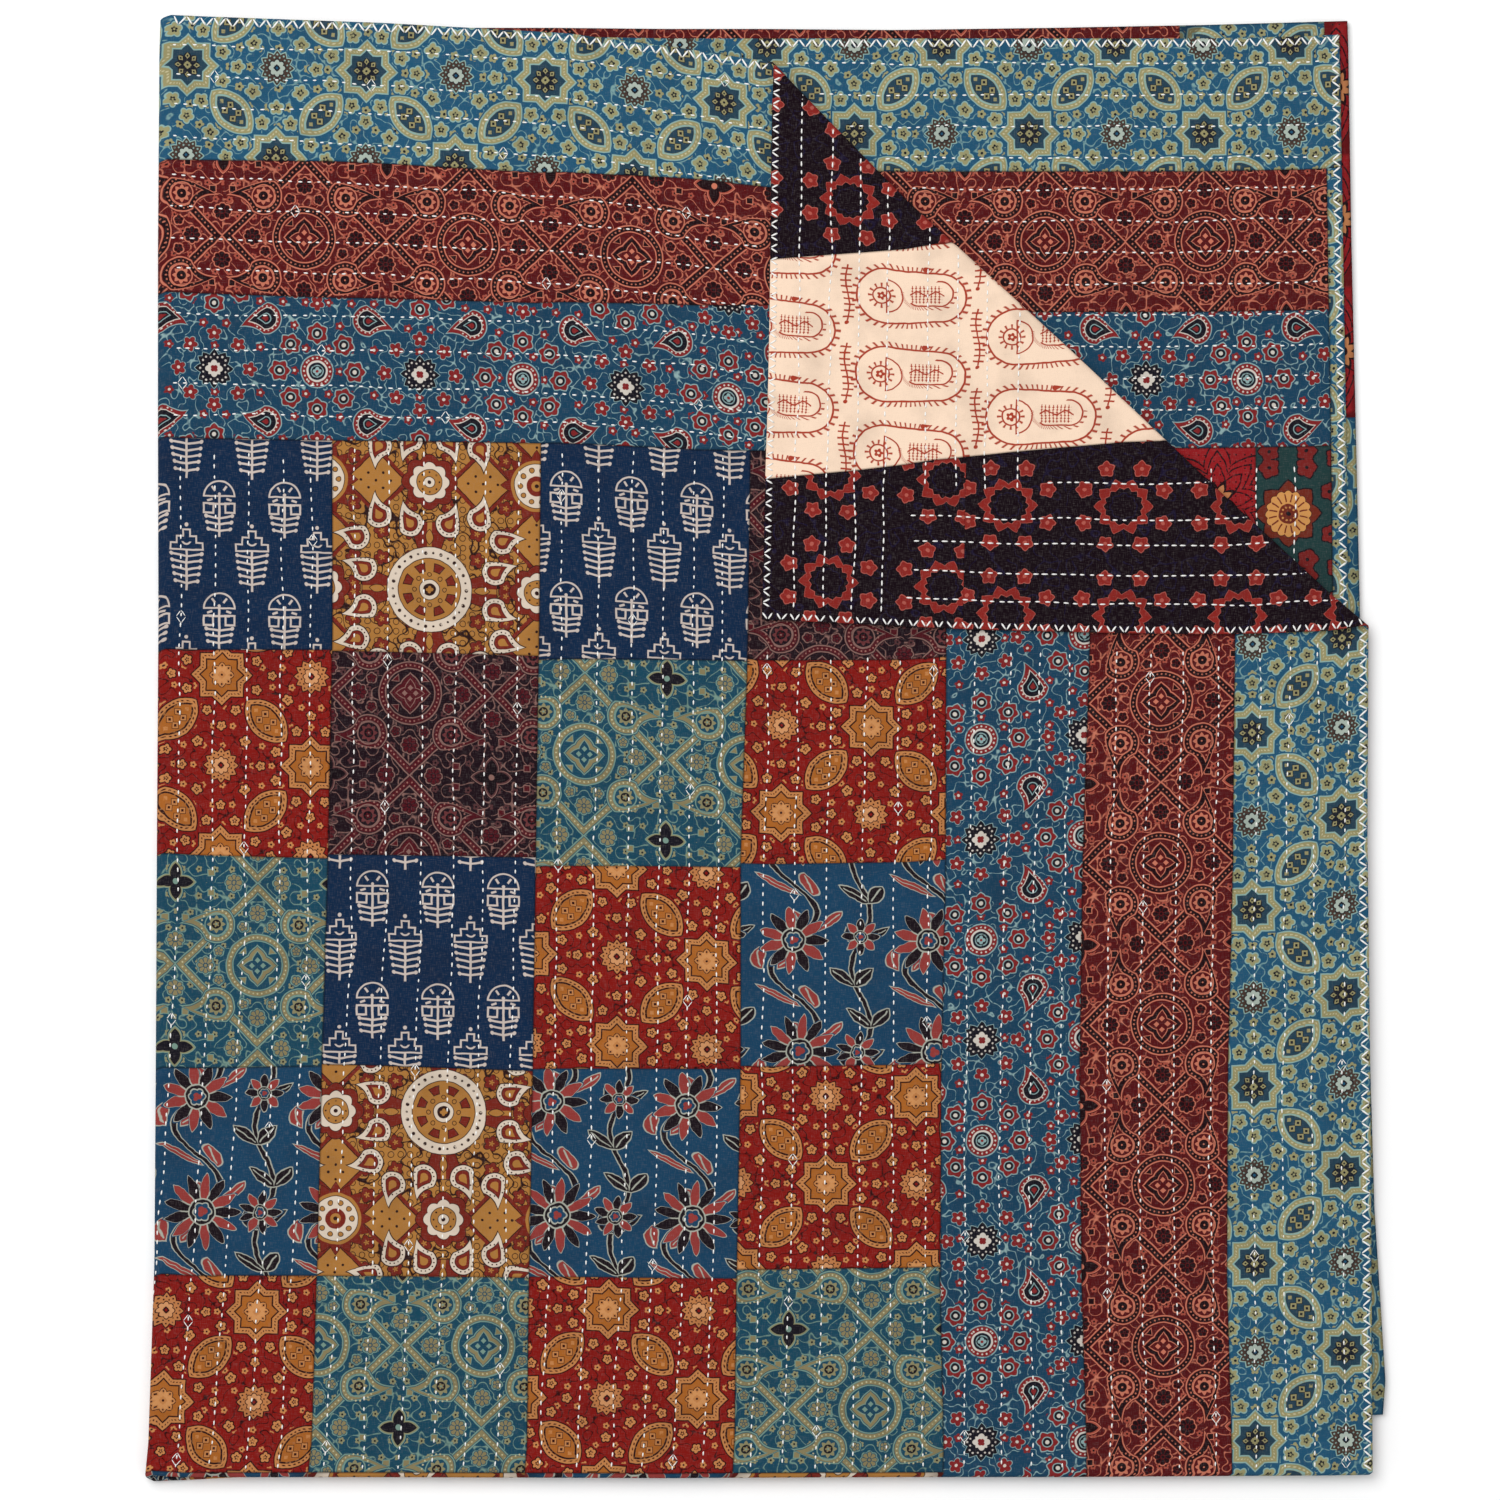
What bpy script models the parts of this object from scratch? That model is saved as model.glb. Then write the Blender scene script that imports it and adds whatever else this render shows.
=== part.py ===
"""A hand-stitched patchwork quilt, folded in quarters, with the top layer's corner turned back.

The quilt is two sewn sheets, the patchwork front and the reverse, and both run through every fold.
Each sheet is sliced flat where it will bend and along its quilting rows, given its thickness, and
carried by one mapping from the flat quilt to the folded stack: folded across its middle with the
reverse inside, then down its length with the front inside, and last the corner turned back.

Metres, +Z up, +Y away from the bottom fold. The origin is under the middle of the stack.
"""

import math
from collections import namedtuple

import bmesh
import bpy
from mathutils import Vector

MM = 0.001

# The flat quilt, a queen size
FLAT_WIDTH = 2286 * MM
FLAT_LENGTH = 2743 * MM

# Through the thickness: the reverse sheet, the filling's gap and the front sheet
SHEET = 1.1 * MM
SHEETS_APART = 0.35 * MM
THICK = 2 * SHEET + SHEETS_APART

# Half the gap that each fold leaves between the layers that it lays on each other
BOTTOM_FOLD_GAP = 0.9 * MM
SIDE_FOLD_GAP = 0.6 * MM
CORNER_FOLD_GAP = 2.0 * MM
CORNER_REST_GAP = 1.6 * MM

# The straight line along which the corner turns back, by where it leaves the top and side edges
TURN_AT_TOP = 565 * MM
TURN_AT_SIDE = 795 * MM

# Quilting
ROW_PITCH = 31.75 * MM
TOP_BORDER = 386 * MM
ROW_LIFT = 0.7 * MM

# The rows sink to nothing this near a sewn edge or a bend, and this near the border's seam
EDGE_FLAT = 25 * MM
SEAM_FLAT = 12 * MM

# How far the raised rows run on under the turned corner
ROWS_UNDER = 20 * MM

FOLD_STEPS = 6
TURN_STEPS = 5

BOTTOM_BEND = math.pi * (BOTTOM_FOLD_GAP + THICK / 2)
SIDE_RADIUS = SIDE_FOLD_GAP + THICK + BOTTOM_FOLD_GAP
SIDE_BEND = math.pi * SIDE_RADIUS
TURN_RADIUS = CORNER_FOLD_GAP + THICK / 2
TURN_BEND = math.pi * TURN_RADIUS

# Beyond its bend the turned corner settles down between these distances from its line
FIRST_SETTLING = TURN_BEND + 20 * MM
LAST_SETTLING = TURN_BEND + 60 * MM

# Beyond the line the bared second layer's rows rise between these distances from it
BARED_FROM = 8 * MM
BARED_FULLY = 30 * MM

# The straight panel beside the bends, from the start of each bend to the sewn edges
WIDE = FLAT_WIDTH / 2 - SIDE_BEND / 2
LONG = FLAT_LENGTH / 2 - BOTTOM_BEND / 2
TOP_FACE = SIDE_RADIUS + BOTTOM_FOLD_GAP + THICK

# How far each layer's edges stray from the true rectangle, in millimetres, with x measured from the
# side fold. The first layer is the top one, and the lower pair lies a little turned under it.
Across = namedtuple("Across", "x top_first top_second top_lower bottom_upper bottom_lower lift")
ACROSS = (
    Across(0, 11.7, 7.6, 3.8, 2.0, -5.0, 0.22),
    Across(30, 10.6, 6.6, 2.8, 0.0, -4.0, 0.10),
    Across(200, 4.6, 1.0, 1.0, 0.0, 5.5, 0.02),
    Across(375, -5.2, -7.6, 1.0, -0.5, 15.0, 0.06),
    Across(480, -18.6, -9.5, 0.0, -1.0, 21.0, 0.03),
    Across(572, -32.9, -9.5, 0.0, -0.5, 26.0, 0.0),
    Across(700, -38.4, -9.5, -1.0, 0.0, 33.0, 0.0),
    Across(850, -26.2, -9.5, 1.0, 0.0, 41.5, 0.0),
    Across(1000, -18.8, -9.5, 3.8, 1.0, 50.0, 0.0),
    Across(1100, -9.3, -7.6, 6.6, 1.5, 55.5, 0.0),
    Across(1137, 0.0, -5.7, 7.6, 2.0, 58.0, 0.0),
)

# The same down the length, with y measured from the bottom fold
Along = namedtuple("Along", "y left_upper left_lower right_first right_second right_lower lift")
ALONG = (
    Along(0, -13.3, -13.3, 4.2, -5.7, 15.2, 0.18),
    Along(30, -9.5, -11.4, 4.2, -5.7, 17.5, 0.08),
    Along(200, -3.8, -5.7, 3.3, -7.6, 7.1, 0.0),
    Along(400, -2.8, -3.8, 1.9, -9.5, 1.4, 0.05),
    Along(600, -1.9, -2.8, -0.5, -13.3, -3.3, 0.02),
    Along(805, 0.0, -1.9, 0.5, -18.0, -7.1, 0.0),
    Along(985, 0.0, -2.8, 0.0, -20.0, -10.9, 0.0),
    Along(1150, 0.0, -2.8, 0.0, -22.8, -14.7, 0.0),
    Along(1338, 2.8, -2.8, 0.0, -25.6, -17.6, 0.0),
    Along(1368, 4.7, -2.8, 0.0, -26.6, -18.5, 0.0),
)

# How far the turned corner's two free edges stray, in millimetres
CornerAcross = namedtuple("CornerAcross", "x edge_y")
CORNER_ACROSS = (
    CornerAcross(565, 5.0),
    CornerAcross(700, 5.5),
    CornerAcross(850, 3.0),
    CornerAcross(1137, -4.0),
)
CornerAlong = namedtuple("CornerAlong", "y edge_x")
CORNER_ALONG = (
    CornerAlong(795, -8.0),
    CornerAlong(950, -6.5),
    CornerAlong(1070, -3.5),
    CornerAlong(1150, -2.0),
    CornerAlong(1368, -6.0),
)


def read_table(rows, column, at):
    """The column's value at this place, on straight lines between the table's rows."""
    places = [row[0] * MM for row in rows]
    values = [getattr(row, column) for row in rows]
    if at <= places[0]:
        return values[0]
    for i in range(1, len(rows)):
        if at <= places[i]:
            share = (at - places[i - 1]) / (places[i] - places[i - 1])
            return values[i - 1] + share * (values[i] - values[i - 1])
    return values[-1]


def part_of(value, low, high):
    """How far value has come from low to high, from 0 to 1."""
    return min(max((value - low) / (high - low), 0.0), 1.0)


def soft_part_of(value, low, high):
    share = part_of(value, low, high)
    return share * share * (3 - 2 * share)


TURN_START = Vector((TURN_AT_TOP, LONG))
TURN_END = Vector((WIDE, TURN_AT_SIDE))
TURN_NORMAL = Vector((TURN_START.y - TURN_END.y, TURN_END.x - TURN_START.x)).normalized()
TURN_REACH = TURN_NORMAL.dot(Vector((WIDE, LONG)) - TURN_START)


def past_turn(x, y):
    """The distance beyond the line of the turned corner, towards the sewn corner."""
    return TURN_NORMAL.dot(Vector((x, y)) - TURN_START)


def stray(x, y, bottom_share, side_share, turn_share):
    """The sideways shift of a point, mixed from its layers as it passes through the folds."""
    across = part_of(x, 0, WIDE)
    along = part_of(y, 0, LONG)
    shift = Vector((0.0, 0.0))
    layers = (
        ("first", "upper", (1 - bottom_share) * (1 - side_share)),
        ("second", "upper", bottom_share * (1 - side_share)),
        ("lower", "lower", side_share),
    )
    for layer, pair, weight in layers:
        if weight == 0:
            continue
        left = read_table(ALONG, "left_" + pair, y)
        right = read_table(ALONG, "right_" + layer, y)
        bottom = read_table(ACROSS, "bottom_" + pair, x)
        top = read_table(ACROSS, "top_" + layer, x)
        shift.x += weight * (left + across * (right - left)) * MM
        shift.y += weight * (bottom + along * (top - bottom)) * MM
    if turn_share > 0:
        pull = turn_share * part_of(-past_turn(x, y), 0, TURN_REACH)
        corner = Vector((read_table(CORNER_ALONG, "edge_x", y), read_table(CORNER_ACROSS, "edge_y", x)))
        shift = shift.lerp(corner * MM, pull)
    return shift


def folded(u, v, w):
    """Carries a point of the flat quilt into the stack. w runs from the reverse to the front face."""
    turned = past_turn(u, v) if u > 0 and v > 0 else -1.0
    bottom_share = part_of(-v, 0, BOTTOM_BEND)
    side_share = part_of(-u, 0, SIDE_BEND)
    turn_share = part_of(turned, 0, TURN_BEND)

    reach = BOTTOM_FOLD_GAP + w
    angle = math.pi * bottom_share
    y = v if v > 0 else -reach * math.sin(angle) + max(-v - BOTTOM_BEND, 0)
    level = reach * math.cos(angle)

    reach = SIDE_RADIUS + level
    angle = math.pi * side_share
    x = u if u > 0 else -reach * math.sin(angle) + max(-u - SIDE_BEND, 0)
    z = reach * math.cos(angle)

    if turned > 0:
        reach = CORNER_FOLD_GAP + THICK - w
        angle = math.pi * turn_share
        beyond = reach * math.sin(angle) - max(turned - TURN_BEND, 0)
        x += TURN_NORMAL.x * (beyond - turned)
        y += TURN_NORMAL.y * (beyond - turned)
        z = TOP_FACE + CORNER_FOLD_GAP - reach * math.cos(angle)
        settled = soft_part_of(turned, TURN_BEND, LAST_SETTLING)
        z -= settled * (2 * CORNER_FOLD_GAP - CORNER_REST_GAP)

    shift = stray(x, y, bottom_share, side_share, turn_share)
    lift_across = abs(u) if u > 0 else max(-u - SIDE_BEND, 0)
    lift_along = abs(v) if v > 0 else max(-v - BOTTOM_BEND, 0)
    lift = read_table(ACROSS, "lift", lift_across) + read_table(ALONG, "lift", lift_along)
    z = (z + TOP_FACE) * (1 + lift)
    return Vector((x + shift.x, y + shift.y, z))


def new_sheet():
    """The flat quilt as one rectangle, with its folds' middles on the axes' bends."""
    bm = bmesh.new()
    bmesh.ops.create_grid(bm, x_segments=1, y_segments=1, size=0.5)
    bmesh.ops.scale(bm, vec=(FLAT_WIDTH, FLAT_LENGTH, 1), verts=bm.verts)
    middle = Vector((WIDE - FLAT_WIDTH / 2, LONG - FLAT_LENGTH / 2, 0))
    bmesh.ops.translate(bm, vec=middle, verts=bm.verts)
    return bm


def slice_sheet(bm, place, normal, wanted=None):
    """Cuts the flat sheet's faces along a line, or only those whose middles are wanted."""
    faces = [f for f in bm.faces if wanted is None or wanted(f.calc_center_median())]
    edges = {e for f in faces for e in f.edges}
    verts = {v for f in faces for v in f.verts}
    bmesh.ops.bisect_plane(
        bm,
        geom=[*faces, *edges, *verts],
        dist=1e-7,
        plane_co=(place[0], place[1], 0),
        plane_no=(normal[0], normal[1], 0),
    )


def slice_across(bm, x, wanted=None):
    slice_sheet(bm, (x, 0), (1, 0), wanted)


def slice_along(bm, y, wanted=None):
    slice_sheet(bm, (0, y), (0, 1), wanted)


def slice_beside_turn(bm, distance, wanted=None):
    place = TURN_START + TURN_NORMAL * distance
    slice_sheet(bm, place, TURN_NORMAL, wanted)


def on_second_layer(y):
    """Where a height in the stack lies on the flat quilt's other half."""
    return -y - BOTTOM_BEND


def slice_folds(bm):
    """The cuts that both sheets share, so that they bend on the same lines and stay apart."""
    for row in ACROSS[:-1]:
        slice_across(bm, row.x * MM)
        slice_across(bm, -row.x * MM - SIDE_BEND)
    for row in ALONG[:-1]:
        slice_along(bm, row.y * MM)
        slice_along(bm, on_second_layer(row.y * MM))
    for step in range(1, FOLD_STEPS):
        slice_across(bm, -SIDE_BEND * step / FOLD_STEPS)
        slice_along(bm, -BOTTOM_BEND * step / FOLD_STEPS)
    for step in range(TURN_STEPS + 1):
        slice_beside_turn(bm, TURN_BEND * step / TURN_STEPS, in_first_layer)
    for distance in (FIRST_SETTLING, (FIRST_SETTLING + LAST_SETTLING) / 2, LAST_SETTLING):
        slice_beside_turn(bm, distance, in_first_layer)


def in_first_layer(place):
    return place.x > 0 and place.y > 0


def in_second_layer(place):
    return place.x > 0 and place.y < -BOTTOM_BEND


def depth_under_corner(place):
    """How far a place on the first layer lies in from the turned corner's free edges."""
    return min(place.x - TURN_AT_TOP, place.y - TURN_AT_SIDE)


def shown_front(place):
    """The patchwork that shows: the first layer, but for what the turned corner covers."""
    return in_first_layer(place) and depth_under_corner(place) < ROWS_UNDER


def shown_corner(place):
    """The reverse that shows on the turned corner, past its bend."""
    return in_first_layer(place) and past_turn(place.x, place.y) > TURN_BEND


def shown_second(place):
    """The reverse of the second layer, beyond the turned corner."""
    return in_second_layer(place) and past_turn(place.x, on_second_layer(place.y)) > 0


def row_places(end):
    """The quilting rows and the tops of the puffs between them, from a bend to a sewn edge."""
    count = 2 * round(end / ROW_PITCH)
    return [i * end / count for i in range(1, count)]


def puff(x, y):
    """The lift of the cloth between two rows of stitches, none at a row, an edge or a seam."""
    seam = LONG - TOP_BORDER
    in_border = y > seam
    place = LONG - y if in_border else x
    end = TOP_BORDER if in_border else WIDE
    pitch = end / round(end / ROW_PITCH)
    between = 2 * abs(place / pitch % 1 - 0.5)
    edges = min(x, WIDE - x, y, LONG - y)
    fade = part_of(edges, 0, EDGE_FLAT) * part_of(abs(y - seam), 0, SEAM_FLAT)
    return ROW_LIFT * fade * between


def slice_rows(bm, shown, height_of):
    """Cuts the rows of the part of a sheet that shows, up the squares and along the top border."""
    seam = LONG - TOP_BORDER
    for offset in (-SEAM_FLAT, 0, SEAM_FLAT):
        slice_along(bm, height_of(seam + offset), shown)
    for at in row_places(WIDE):
        slice_across(bm, at, lambda place: shown(place) and height_of(place.y) < seam)
    for at in row_places(TOP_BORDER):
        slice_along(bm, height_of(LONG - at), lambda place: shown(place) and height_of(place.y) > seam)


def same_height(y):
    return y


def fold_sheet(bm, low, high, raised):
    """Thickens the flat sheet from low to high and folds it, with its shown rows raised."""
    bmesh.ops.triangulate(bm, faces=bm.faces)
    bmesh.ops.recalc_face_normals(bm, faces=bm.faces)
    bottom = list(bm.verts)
    made = bmesh.ops.extrude_face_region(bm, geom=list(bm.faces), use_keep_orig=True)
    top = [item for item in made["geom"] if isinstance(item, bmesh.types.BMVert)]
    for verts, w in ((bottom, low), (top, high)):
        for vert in verts:
            u, v = vert.co.x, vert.co.y
            vert.co = folded(u, v, w)
            vert.co.z += raised(Vector((u, v)))
    bmesh.ops.recalc_face_normals(bm, faces=bm.faces)


def raise_front(place):
    if not shown_front(place):
        return 0.0
    return puff(place.x, place.y) * (1 - part_of(depth_under_corner(place), 0, ROWS_UNDER))


def raise_back(place):
    if shown_corner(place):
        return puff(place.x, place.y) * part_of(past_turn(place.x, place.y), TURN_BEND, FIRST_SETTLING)
    if shown_second(place):
        y = on_second_layer(place.y)
        return puff(place.x, y) * part_of(past_turn(place.x, y), BARED_FROM, BARED_FULLY)
    return 0.0


def fabric(name, colour, roughness):
    material = bpy.data.materials.new(name)
    material.use_nodes = True
    shader = material.node_tree.nodes["Principled BSDF"]
    shader.inputs["Base Color"].default_value = (*colour, 1)
    shader.inputs["Roughness"].default_value = roughness
    shader.inputs["Metallic"].default_value = 0
    return material


def finish(bm, name, material):
    mesh = bpy.data.meshes.new(name)
    bm.to_mesh(mesh)
    bm.free()
    mesh.materials.append(material)
    piece = bpy.data.objects.new(name, mesh)
    bpy.context.collection.objects.link(piece)
    return piece


def make_front():
    """The patchwork front, outside on the top layer and inside the side fold."""
    bm = new_sheet()
    slice_folds(bm)
    slice_across(bm, TURN_AT_TOP + ROWS_UNDER, in_first_layer)
    slice_along(bm, TURN_AT_SIDE + ROWS_UNDER, in_first_layer)
    slice_rows(bm, shown_front, same_height)
    fold_sheet(bm, THICK - SHEET, THICK, raise_front)
    return finish(bm, "front_cloth", fabric("block_printed_front", (0.10, 0.13, 0.20), 0.85))


def slice_second_beside_turn(bm, distance):
    """A cut of the second layer that lies under a line beside the turned corner's."""
    place = TURN_START + TURN_NORMAL * distance
    mirrored = (place.x, on_second_layer(place.y))
    slice_sheet(bm, mirrored, (TURN_NORMAL.x, -TURN_NORMAL.y), in_second_layer)


def make_back():
    """The pieced reverse, which shows on the turned corner and on the layer that it bares."""
    bm = new_sheet()
    slice_folds(bm)
    for distance in (0, BARED_FROM, BARED_FULLY):
        slice_second_beside_turn(bm, distance)
    slice_rows(bm, shown_corner, same_height)
    slice_rows(bm, shown_second, on_second_layer)
    fold_sheet(bm, 0, SHEET, raise_back)
    return finish(bm, "back_cloth", fabric("block_printed_reverse", (0.32, 0.10, 0.08), 0.85))


def centre(pieces):
    """Sets the stack's middle over the origin."""
    corners = [v.co for piece in pieces for v in piece.data.vertices]
    middle_x = (min(c.x for c in corners) + max(c.x for c in corners)) / 2
    middle_y = (min(c.y for c in corners) + max(c.y for c in corners)) / 2
    for piece in pieces:
        for vert in piece.data.vertices:
            vert.co.x -= middle_x
            vert.co.y -= middle_y


def main():
    for old in list(bpy.data.objects):
        bpy.data.objects.remove(old)
    centre([make_front(), make_back()])


main()
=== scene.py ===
"""The visible quilt: its printed cloths, its seams, quilting stitches and sewn edges.

The cloths are cut flat, patch by patch, given their thickness, and carried by the same mapping that
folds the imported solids: across the middle, down the length, and last the corner turned back. The
prints are drawn by material nodes on each patch's own flat coordinates.

Metres, +Z up, +Y away from the bottom fold. Tables are in millimetres.
"""

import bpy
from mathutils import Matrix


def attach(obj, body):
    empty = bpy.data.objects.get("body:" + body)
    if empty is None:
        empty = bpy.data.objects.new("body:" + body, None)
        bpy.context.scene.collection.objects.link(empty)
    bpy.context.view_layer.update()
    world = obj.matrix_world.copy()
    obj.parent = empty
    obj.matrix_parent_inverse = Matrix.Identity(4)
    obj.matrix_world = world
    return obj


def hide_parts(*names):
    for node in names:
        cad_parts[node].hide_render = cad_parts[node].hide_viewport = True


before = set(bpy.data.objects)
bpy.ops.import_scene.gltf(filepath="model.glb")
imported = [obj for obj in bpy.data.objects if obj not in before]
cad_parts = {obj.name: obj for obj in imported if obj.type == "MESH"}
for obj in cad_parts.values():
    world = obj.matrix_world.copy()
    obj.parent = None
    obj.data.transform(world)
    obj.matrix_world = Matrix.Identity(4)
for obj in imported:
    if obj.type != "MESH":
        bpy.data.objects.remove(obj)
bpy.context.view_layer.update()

import math
from collections import namedtuple

import bmesh
import bpy
import numpy as np
from mathutils import Vector

bl_info = {
    "name": "Folded patchwork quilt",
    "version": (1, 0, 0),
    "blender": (4, 5, 0),
    "location": "3D View > Sidebar > Quilt",
    "description": "Cuts, folds, sews and prints a patchwork quilt over its packed solids",
    "category": "Object",
}

MM = 0.001
PI = math.pi
HALF_ROOT = math.sqrt(0.5)

# The flat quilt and its layers, as the solids have them
FLAT_WIDTH = 2286 * MM
FLAT_LENGTH = 2743 * MM
SHEET = 1.1 * MM
SHEETS_APART = 0.35 * MM
THICK = 2 * SHEET + SHEETS_APART
BOTTOM_FOLD_GAP = 0.9 * MM
SIDE_FOLD_GAP = 0.6 * MM
CORNER_FOLD_GAP = 2.0 * MM
CORNER_REST_GAP = 1.6 * MM
TURN_AT_TOP = 565 * MM
TURN_AT_SIDE = 795 * MM
ROWS_UNDER = 20 * MM
CENTRE_X = 566.669 * MM
CENTRE_Y = 685.667 * MM

BOTTOM_BEND = PI * (BOTTOM_FOLD_GAP + THICK / 2)
SIDE_RADIUS = SIDE_FOLD_GAP + THICK + BOTTOM_FOLD_GAP
SIDE_BEND = PI * SIDE_RADIUS
TURN_BEND = PI * (CORNER_FOLD_GAP + THICK / 2)
FIRST_SETTLING = TURN_BEND + 20 * MM
LAST_SETTLING = TURN_BEND + 60 * MM
BARED_FROM = 8 * MM
BARED_FULLY = 30 * MM
WIDE = FLAT_WIDTH / 2 - SIDE_BEND / 2
LONG = FLAT_LENGTH / 2 - BOTTOM_BEND / 2
TOP_FACE = SIDE_RADIUS + BOTTOM_FOLD_GAP + THICK

# How far each layer's edges stray from the true rectangle, as the solids have it
Across = namedtuple("Across", "x top_first top_second top_lower bottom_upper bottom_lower lift")
ACROSS = (
    Across(0, 11.7, 7.6, 3.8, 2.0, -5.0, 0.22),
    Across(30, 10.6, 6.6, 2.8, 0.0, -4.0, 0.10),
    Across(200, 4.6, 1.0, 1.0, 0.0, 5.5, 0.02),
    Across(375, -5.2, -7.6, 1.0, -0.5, 15.0, 0.06),
    Across(480, -18.6, -9.5, 0.0, -1.0, 21.0, 0.03),
    Across(572, -32.9, -9.5, 0.0, -0.5, 26.0, 0.0),
    Across(700, -38.4, -9.5, -1.0, 0.0, 33.0, 0.0),
    Across(850, -26.2, -9.5, 1.0, 0.0, 41.5, 0.0),
    Across(1000, -18.8, -9.5, 3.8, 1.0, 50.0, 0.0),
    Across(1100, -9.3, -7.6, 6.6, 1.5, 55.5, 0.0),
    Across(1137, 0.0, -5.7, 7.6, 2.0, 58.0, 0.0),
)
Along = namedtuple("Along", "y left_upper left_lower right_first right_second right_lower lift")
ALONG = (
    Along(0, -13.3, -13.3, 4.2, -5.7, 15.2, 0.18),
    Along(30, -9.5, -11.4, 4.2, -5.7, 17.5, 0.08),
    Along(200, -3.8, -5.7, 3.3, -7.6, 7.1, 0.0),
    Along(400, -2.8, -3.8, 1.9, -9.5, 1.4, 0.05),
    Along(600, -1.9, -2.8, -0.5, -13.3, -3.3, 0.02),
    Along(805, 0.0, -1.9, 0.5, -18.0, -7.1, 0.0),
    Along(985, 0.0, -2.8, 0.0, -20.0, -10.9, 0.0),
    Along(1150, 0.0, -2.8, 0.0, -22.8, -14.7, 0.0),
    Along(1338, 2.8, -2.8, 0.0, -25.6, -17.6, 0.0),
    Along(1368, 4.7, -2.8, 0.0, -26.6, -18.5, 0.0),
)
CornerAcross = namedtuple("CornerAcross", "x edge_y")
CORNER_ACROSS = (
    CornerAcross(565, 5.0),
    CornerAcross(700, 5.5),
    CornerAcross(850, 3.0),
    CornerAcross(1137, -4.0),
)
CornerAlong = namedtuple("CornerAlong", "y edge_x")
CORNER_ALONG = (
    CornerAlong(795, -8.0),
    CornerAlong(950, -6.5),
    CornerAlong(1070, -3.5),
    CornerAlong(1150, -2.0),
    CornerAlong(1368, -6.0),
)

# The seams up the length, each by its distance from the side fold at a height on the flat quilt
UpSeam = namedtuple("UpSeam", "y first second third fourth fifth sixth")
UP_SEAMS = (
    UpSeam(-3, 145.1, 346.9, 540.4, 736.7, 870.3, 1005.8),
    UpSeam(188, 145.4, 344.7, 539.8, 731.2, 864.1, 1000.8),
    UpSeam(390, 149.5, 348.0, 543.6, 732.6, 863.0, 1002.8),
    UpSeam(588, 154.7, 350.9, 544.2, 738.1, 867.4, 1009.5),
    UpSeam(790, 157.0, 352.3, 549.5, 737.3, 873.0, 1010.5),
    UpSeam(985, 156.8, 354.2, 552.5, 736.6, 874.0, 1010.5),
    UpSeam(1242, 156.8, 354.2, 552.5, 736.6, 874.0, 1010.5),
)

# The seams of the three top borders, by their heights at a distance from the side fold
CrossSeam = namedtuple("CrossSeam", "x inner middle outer")
CROSS_SEAMS = (
    CrossSeam(-41, 971.5, 1108.5, 1231.5),
    CrossSeam(155, 973.0, 1107.6, 1236.0),
    CrossSeam(350, 977.7, 1110.7, 1234.3),
    CrossSeam(505, 985.0, 1124.0, 1245.0),
    CrossSeam(572, 991.6, 1133.2, 1246.9),
    CrossSeam(800, 994.0, 1128.0, 1244.0),
    CrossSeam(1137, 990.0, 1122.0, 1242.0),
)

# The reverse's two seams on the turned corner, the same way
ReverseSeam = namedtuple("ReverseSeam", "y first second")
REVERSE_SEAMS = (
    ReverseSeam(-30, 734, 942),
    ReverseSeam(995, 740, 947),
    ReverseSeam(1032, 741, 948),
    ReverseSeam(1135, 743, 958),
    ReverseSeam(1212, 746, 968),
    ReverseSeam(1284, 760, 983),
    ReverseSeam(1368, 775, 997),
)

# The quilting rows up each strip: their places half-way up, and how far they lean at four heights
RowsUp = namedtuple("RowsUp", "places low lower upper high")
ROWS_UP = (
    RowsUp((12.5, 44.8, 76.1, 108.4, 135.9), -23.5, -10.5, 0.5, 1.5),
    RowsUp((176.7, 209.0, 242.2, 272.5, 300.1, 330.4), -12.5, -8.5, 0.5, 1.0),
    RowsUp((370.3, 404.5, 436.7, 465.2, 493.7, 521.2), -10.0, -0.5, 4.0, 5.0),
    RowsUp((564.8, 593.3, 623.7, 656.9, 688.2, 720.5), -6.0, -0.5, 4.5, 5.0),
    RowsUp((758.4, 791.7, 820.1, 847.6), -2.0, -5.5, 6.0, 6.5),
    RowsUp((891.3, 922.6, 953.9, 989.0), 3.0, -4.5, 7.5, 8.0),
    RowsUp((1028.9, 1057.3, 1084.9, 1113.3), -2.0, -4.0, 4.5, 5.0),
)
LEAN_HEIGHTS = {"low": 60, "lower": 305, "straight": 515, "upper": 705, "high": 925}
BEFORE_FIRST_ROW = -30 * MM
BEYOND_LAST_ROW = 20 * MM

# The quilting rows of the three top borders, from the top edge down, at the left and 350 mm along
RowAcross = namedtuple("RowAcross", "near far")
ROWS_ACROSS = (
    RowAcross(1340, 1342),
    RowAcross(1313, 1307),
    RowAcross(1284, 1281),
    RowAcross(1255, 1251),
    RowAcross(1218, 1213),
    RowAcross(1188, 1188),
    RowAcross(1159, 1160),
    RowAcross(1131, 1130),
    RowAcross(1088, 1093),
    RowAcross(1055, 1062),
    RowAcross(1023, 1026),
    RowAcross(994, 999),
)
NEAR_TO_FAR = 350 * MM
FURTHEST_TILT = 1.5
BELOW_NEAR_ROWS = 960 * MM
BELOW_FAR_ROWS = 965 * MM
ABOVE_ROWS = 15 * MM

# How the cloth rises between its rows: the sharpness of the hollows along them, the share and the
# reach of each unevenness, and the deepest dent
HOLLOW_POWER = 0.7
Uneven = namedtuple("Uneven", "share wave seed")
BROAD_UNEVEN = Uneven(0.35, 90 * MM, 3)
FINE_UNEVEN = Uneven(0.2, 31 * MM, 4)
SWELL_UNEVEN = Uneven(0.5, 60 * MM, 5)
DEEPEST_DENT = -0.3 * MM
FLAT_BESIDE_EDGE = 25 * MM
NOISE_WAVES = 9

FOLD_STEPS = 8
TURN_STEPS = 6


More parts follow.
